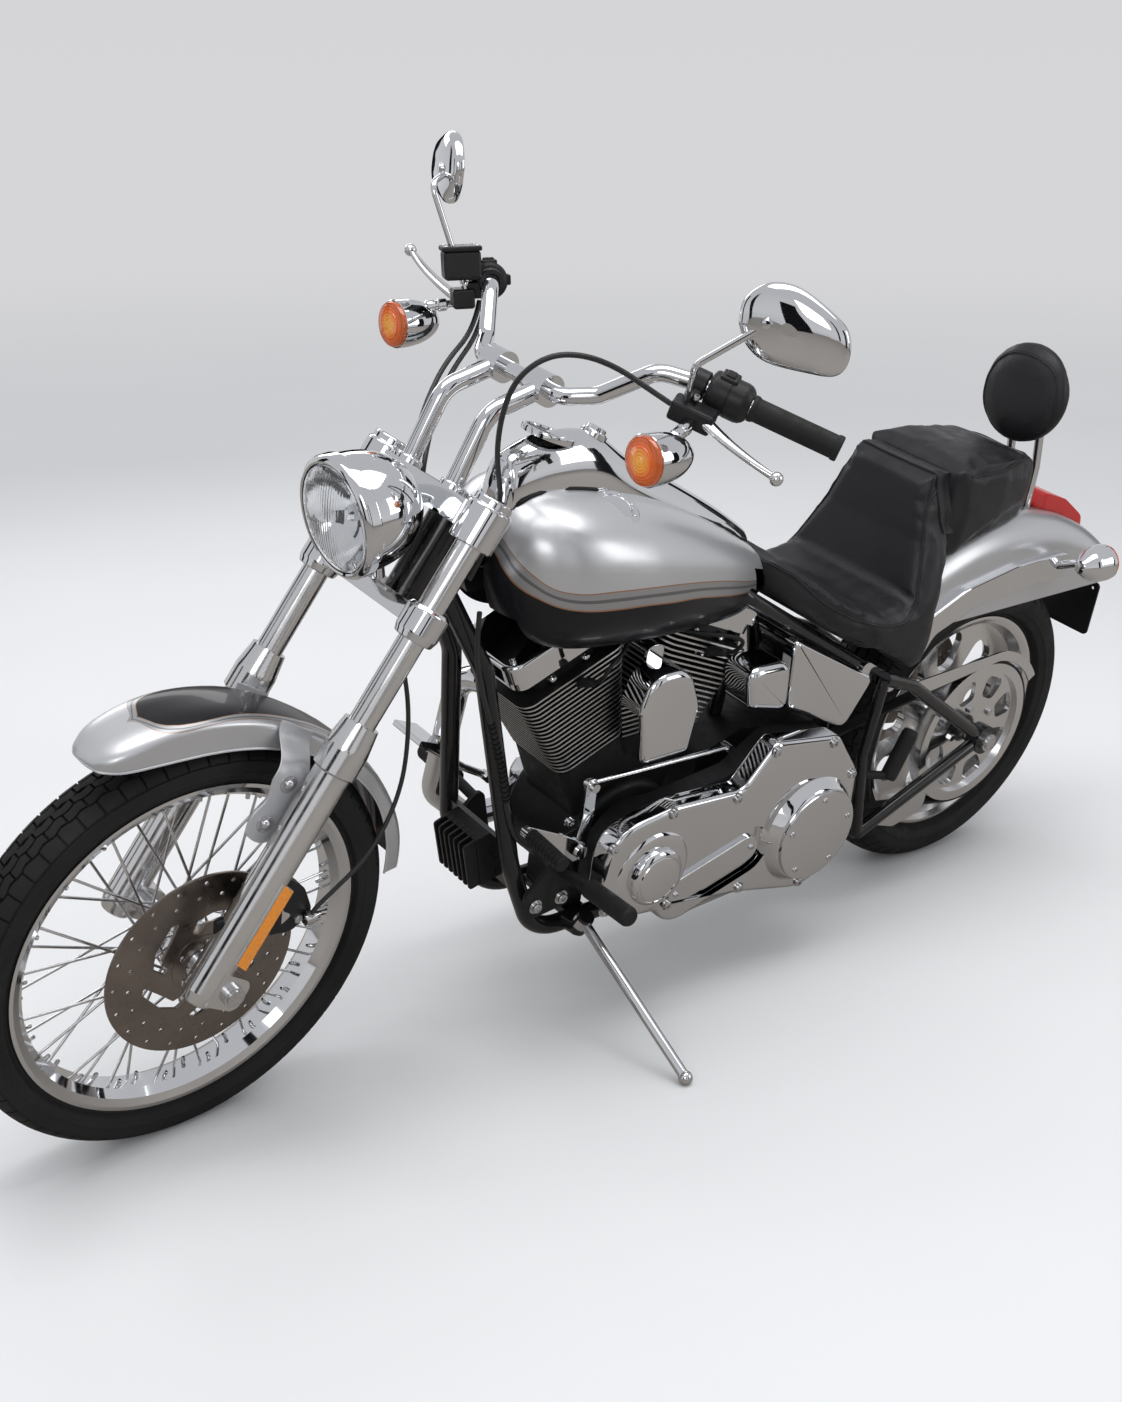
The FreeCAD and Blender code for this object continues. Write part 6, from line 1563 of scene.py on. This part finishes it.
def hand_matrix(side):
    """The matrix that carries a place by a lever clamp to where it stands."""
    inner, out, forward, above = hand_frame(side)
    turn = Matrix((out, forward, above)).transposed().to_4x4()
    turn.translation = inner / 1000
    return steered @ turn


control_shapes, button_shapes = [], []
HOUSING_R = 29
for side in (1, -1):
    place = hand_matrix(side)
    start, end = hand_point(side, 8, 0, 0), bar_point(GRIP_FROM - 1, side)
    span = (end - start).length
    control_shapes.append(steer_bar(start, end, HOUSING_R, 48,
                                    [(12.7, 0), (HOUSING_R - 7, 0), (HOUSING_R - 3, 1.5),
                                     (HOUSING_R - 0.5, 5), (HOUSING_R, 10), (HOUSING_R, span * 0.46),
                                     (HOUSING_R - 1, span * 0.47), (HOUSING_R - 1, span * 0.49),
                                     (HOUSING_R, span * 0.5), (HOUSING_R, span - 14),
                                     (HOUSING_R - 1.5, span - 8), (HOUSING_R - 5, span - 3),
                                     (HOUSING_R - 9, span), (12.7, span)]))
    control_shapes.append(steer_bar(hand_point(side, -16, 0, 0), hand_point(side, 6, 0, 0), 21, 40, [
        (12.7, 0), (19, 0), (21, 2), (21, 20), (19, 22), (12.7, 22)]))
    control_shapes.append(block((-14, 15, -24), (4, 40, 2), 3.5, place))
    control_shapes.append(block((-26, 28, -38), (38, 62, -8), 5, place))
    control_shapes.append(block((18, -14, HOUSING_R - 10), (44, 12, HOUSING_R + 3), 3, place))
    for out_at, ahead_at in ((22, -34), (38, -34)):
        button_shapes.append(block((out_at - 6, ahead_at, -8), (out_at + 6, ahead_at + 10, 8), 2.5, place))
    button_shapes.append(block((24, -10, HOUSING_R + 1), (38, 8, HOUSING_R + 6), 2.5, place))
    if side < 0:
        control_shapes.append(block((-34, 16, 6), (28, 74, 50), 6, place))
        control_shapes.append(block((-36, 14, 49), (30, 76, 57), 3, place))
controls = joined("hand_castings", control_shapes, satin_black, "steering", weighted=True)
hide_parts("hand_controls")
joined("hand_buttons", button_shapes, rubber_black, "steering", weighted=True)
cup_up = facing(hand_matrix(-1), 0, 0, 1)
screws("cup_lid_screws", [(hand_matrix(-1) @ (Vector((x, y, 57)) / 1000), cup_up) for x in (-29, 23)
                          for y in (21, 69)], 3.4, 1.6, "dome", bright_steel, "steering")
clamp_bolts = []
for side in (1, -1):
    for out_at in (-12, 2):
        clamp_bolts.append((hand_matrix(side) @ (Vector((out_at, 40, -3)) / 1000),
                            facing(hand_matrix(side), 0, 0, 1)))
screws("clamp_bolts", clamp_bolts, 4.5, 6, "socket", bright_steel, "steering")

LEVER_BALL = {1: (1040, 400, 1130), -1: (1080, -400, 1212)}
LEVER_SECTIONS = ((0.0, 11, 8), (0.12, 11, 7), (0.35, 10, 6), (0.7, 8, 5), (0.9, 6, 5), (1.0, 5, 5))
lever_shapes = []
for side in (1, -1):
    root, tip = hand_point(side, 30, 52, -23), Vector(LEVER_BALL[side])
    hip = root + (tip - root) * 0.42 + hand_frame(side)[2] * 12
    rings = []
    for share, broad, thin in through(LEVER_SECTIONS, 5):
        place = root * (1 - share) ** 2 + hip * 2 * share * (1 - share) + tip * share ** 2
        along = ((hip - root) * (1 - share) + (tip - hip) * share).normalized()
        flat = along.cross(Vector((0, 0, 1))).normalized()
        rise = flat.cross(along)
        rings.append([(place + flat * broad * math.cos(math.tau * i / 24) + rise * thin
                       * math.sin(math.tau * i / 24)) / 1000 for i in range(24)])
    lever_shapes.append((*lofted(rings), steered))
    ball = [(10 * math.sin(math.pi * i / 14), -10 * math.cos(math.pi * i / 14)) for i in range(1, 14)]
    lever_shapes.append((*turned(mm([(0, -10)] + ball + [(0, 10)]), 28), stood(on_steering(*tip), ABOVE)))
levers = joined("polished_levers", lever_shapes, polished, "steering", sharp=60)
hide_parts("levers")

# Mirrors
# Teardrop mirrors with domed chromed backs stand on bent steel stems at the lever clamps. A pane of silvered
# glass closes the flat side.


def bent(points, radius, steps=8):
    """Places along straight runs with their corners turned off, in millimetres."""
    line = [Vector(points[0])]
    for before, here, after in zip(points, points[1:], points[2:]):
        before, here, after = Vector(before), Vector(here), Vector(after)
        line += corner_arc(here, before - here, after - here, radius, 0.48, steps)
    line.append(Vector(points[-1]))
    return line


MIRROR_JOINT = {1: (1062, 350, 1330), -1: (1066, -342, 1350)}
STEM_BEND = {1: (1112, 284, 1258), -1: (1114, -318, 1340)}
MIRROR_TURN = 25
MIRROR_OUTLINE = ((-44, -13), (-44, 14), (-32, 34), (-7, 50), (31, 50), (84, 26), (106, 5), (111, -30),
                  (96, -50), (60, -55), (4, -55), (-28, -39))
closed_outline = through(MIRROR_OUTLINE + MIRROR_OUTLINE[:1], 6)[:-1]
MIRROR_ROWS = ((-6.5, 0.90), (-8.5, 0.93), (-9, 0.965), (-6, 0.99), (0, 1.0), (5, 0.97), (10, 0.86),
               (14, 0.68), (17, 0.42), (18.5, 0.15))
mirror_shapes, mirror_glasses, stems = [], [], []
for side in (1, -1):
    start, joint = hand_point(side, -8, 40, -12), Vector(MIRROR_JOINT[side])
    stems.append([on_steering(*place) for place in bent([start, STEM_BEND[side], joint], 20)])
    toed_in = Matrix.Rotation(math.radians(side * MIRROR_TURN), 4, "Z")
    place = steered @ Matrix.Translation((joint + Vector((-8, 0, 4))) / 1000) @ toed_in
    rings = [[Vector((back, side * (30 + (y - 30) * share), z * share)) / 1000 for y, z in closed_outline]
             for back, share in MIRROR_ROWS]
    mirror_shapes.append((*lofted(rings), place))
    boss = place @ Matrix.Rotation(math.radians(90), 4, "Y") @ Matrix.Translation((0, 0, 0.008))
    mirror_shapes.append((*turned(mm([(0, -6), (9, -6), (10, 0), (9, 8), (6, 14), (0, 15)]), 28), boss))
    pane = [Vector((-7.4, side * (30 + (y - 30) * 0.905), z * 0.905)) / 1000 for y, z in closed_outline]
    back = [point + Vector((0.003, 0, 0)) for point in pane]
    mirror_glasses.append((*lofted([pane, back]), place))
mirrors = joined("mirror_shells", mirror_shapes, chrome, "steering", sharp=50)
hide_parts("mirrors")
mirror_silver = surface("mirror_silver", (0.86, 0.87, 0.88), 0.02, metal=1.0, mottle=(3.0, 0.01))
joined("mirror_glass", mirror_glasses, mirror_silver, "steering")
mirror_stems = threads("mirror_stems", stems, 0.005, chrome, "steering", smooth=False)
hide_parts("mirrors")

# Cables and hose
# Steel cables in black sheaths run from the levers down behind the fork, and a hose joins the caliper to the
# yoke. A ribbed sleeve guards the lower cable where it passes the frame.

CABLE_R, HOSE_R = 0.004, 0.0035


def upright(places, carry):
    """Places of the upright machine, carried to where they stand."""
    return [carry(*place) for place in places]


clutch_run = [hand_point(1, -27, 46, -22), hand_point(1, -57, 48, -16), (1165, 196, 1230), (1215, 176, 1248),
              (1257, 152, 1243), (1286, 128, 1206), (1290, 112, 1146), (1280, 102, 1078)]
throttle_run = [hand_point(-1, 10, 18, -HOUSING_R), hand_point(-1, -4, 30, -HOUSING_R - 42),
                (1132, -218, 1092), (1184, -186, 1052), (1230, -144, 1024)]
idle_run = [hand_point(-1, 16, 8, -HOUSING_R), hand_point(-1, 4, 20, -HOUSING_R - 46), (1122, -214, 1078),
            (1172, -178, 1040), (1216, -132, 1014)]
fork_runs = (((-10, 96, 800), (-34, 92, 735), (-44, 86, 680)),
             ((-10, -104, 790), (-34, -92, 735), (-44, -86, 680)),
             ((-18, -92, 790), (-44, -84, 735), (-54, -76, 680)))
sheaths = [upright(first, on_steering) + upright(last, on_fork)
           for first, last in zip((clutch_run, throttle_run, idle_run), fork_runs)]
sheath_black = surface("sheath_black", (0.016, 0.016, 0.017), 0.42, mottle=(30.0, 0.2))
threads("bar_cables", sheaths, CABLE_R, sheath_black, "steering")
HOSE_RUN = ((1536, 106, 392), (1530, 106, 402), (1496, 105, 424), (1448, 104, 456), (1405, 98, 504),
            (1374, 88, 566), (1362, 76, 634), (1362, 66, 700))
hose_route = upright(HOSE_RUN, on_steering) + [on_fork(-34, 62, 530), on_fork(-26, 62, 587)]
threads("brake_hose", [hose_route], HOSE_R, sheath_black, "steering")
joined("hose_ends", [steer_bar((1538, 106, 380), (1536, 106, 398), 7),
                     steer_bar((1530, 106, 388), (1546, 106, 388), 9, 20),
                     (*turned(mm([(0, 0), (8, 0), (8, 18), (5, 20), (5, 30), (0, 30)]), 20),
                      stood(on_fork(-26, 62, 593), -facing(fork, 0, 0, 1)))], bright_steel, "steering")
LOWER_RUN = ((1252, 74, 822), (1250, 72, 760), (1236, 74, 696), (1214, 82, 628), (1196, 92, 560),
             (1182, 99, 492), (1168, 104, 432), (1136, 106, 390), (1092, 98, 374), (1050, 90, 373),
             (1008, 84, 378))
threads("lower_cable", [upright(LOWER_RUN, on_machine)], CABLE_R, sheath_black, "chassis")
sleeve = []
for x, y, z in through(((1214, 82, 628), (1205, 87, 594), (1196, 92, 560), (1189, 95.5, 526),
                        (1182, 99, 492)), 4):
    sleeve.append((*turned(mm([(4, 0), (7, 0.6), (7, 4.2), (5, 4.8)]), 16),
                   stood(on_machine(x, y, z), on_machine(1182, 99, 492) - on_machine(1214, 82, 628))))
joined("cable_sleeve", sleeve, rubber_black, "chassis")

# Caliper and reflectors on the fork
# The caliper is a cast block with a brushed plate on its face. An amber strip reflector in a bright frame is
# stuck on each slider.

CALIPER_OUTLINE = ((-168, 52, 18), (-130, 26, 26), (-74, 38, 26), (-56, 72, 20), (-66, 112, 20),
                   (-112, 136, 20), (-152, 98, 20))
CALIPER_BRIDGE = ((-150, 50, 1), (-140, 74, 20), (-124, 98, 20), (-104, 119, 1), (-112, 133, 2),
                  (-136, 109, 20), (-153, 83, 20), (-166, 54, 2))
CALIPER_EAR = ((-100, 60, 8), (10, 60, 4), (10, 110, 4), (-100, 110, 8))
CALIPER_PLATE = ((-130, 62, 12), (-104, 46, 12), (-92, 66, 14), (-98, 92, 12), (-116, 100, 10),
                 (-110, 74, 14))
upright_axle = steered @ Matrix.Translation(Vector(UPRIGHT_AXLE) / 1000)
CALIPER_OUT = 98
caliper = joined("caliper_casting", [
    (*plate(rounded(CALIPER_OUTLINE, 8), 70, CALIPER_OUT, 6), upright_axle),
    (*plate(rounded(CALIPER_OUTLINE, 8), 54, 40, 4), upright_axle),
    (*plate(rounded(CALIPER_BRIDGE), 50, 74), upright_axle),
    (*plate(rounded(CALIPER_EAR), 108, 116, 2), upright_axle)], satin_black, "steering",
    weighted=True)
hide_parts("front_caliper")
joined("caliper_plate", [(*plate(rounded(CALIPER_PLATE, 8), CALIPER_OUT - 1, CALIPER_OUT + 1.4, 0.6),
                          upright_axle)], polished, "steering")
screws("caliper_bolts", [(upright_axle @ (Vector(place) / 1000), facing(steered, 0, 1, 0))
                         for place in ((-80, CALIPER_OUT - 0.5, 92), (-138, CALIPER_OUT - 0.5, 52))], 8, 7,
       "hex", bright_steel, "steering")

amber_strip = surface("amber_strip", (0.90, 0.26, 0.008), 0.12, coat=1.0, mottle=(900.0, 0.35))
STRIP_LOW, STRIP_HIGH, STRIP_HALF, STRIP_BACK = 42, 182, 11, 6
strip_shapes, strip_frames = [], []
for side in (1, -1):
    round_leg = fork @ Matrix.Translation((0.018, side * 0.122, 0)) @ Matrix.Rotation(
        math.radians(side * STRIP_BACK), 4, "Z")
    outline = [Vector((x, z)) for x, z in ((-STRIP_HALF, STRIP_LOW), (STRIP_HALF, STRIP_LOW + 6),
                                           (STRIP_HALF, STRIP_HIGH), (-STRIP_HALF, STRIP_HIGH - 6))]
    strip_shapes.append((*plate(outline, side * 26, side * 32, 1.0), round_leg))
    strip_frames.append((*plate(inset(outline, -2.2), side * 20, side * 30, 0.8), round_leg))
joined("fork_reflectors", strip_shapes, amber_strip, "steering")
joined("reflector_frames", strip_frames, chrome, "steering", weighted=True)
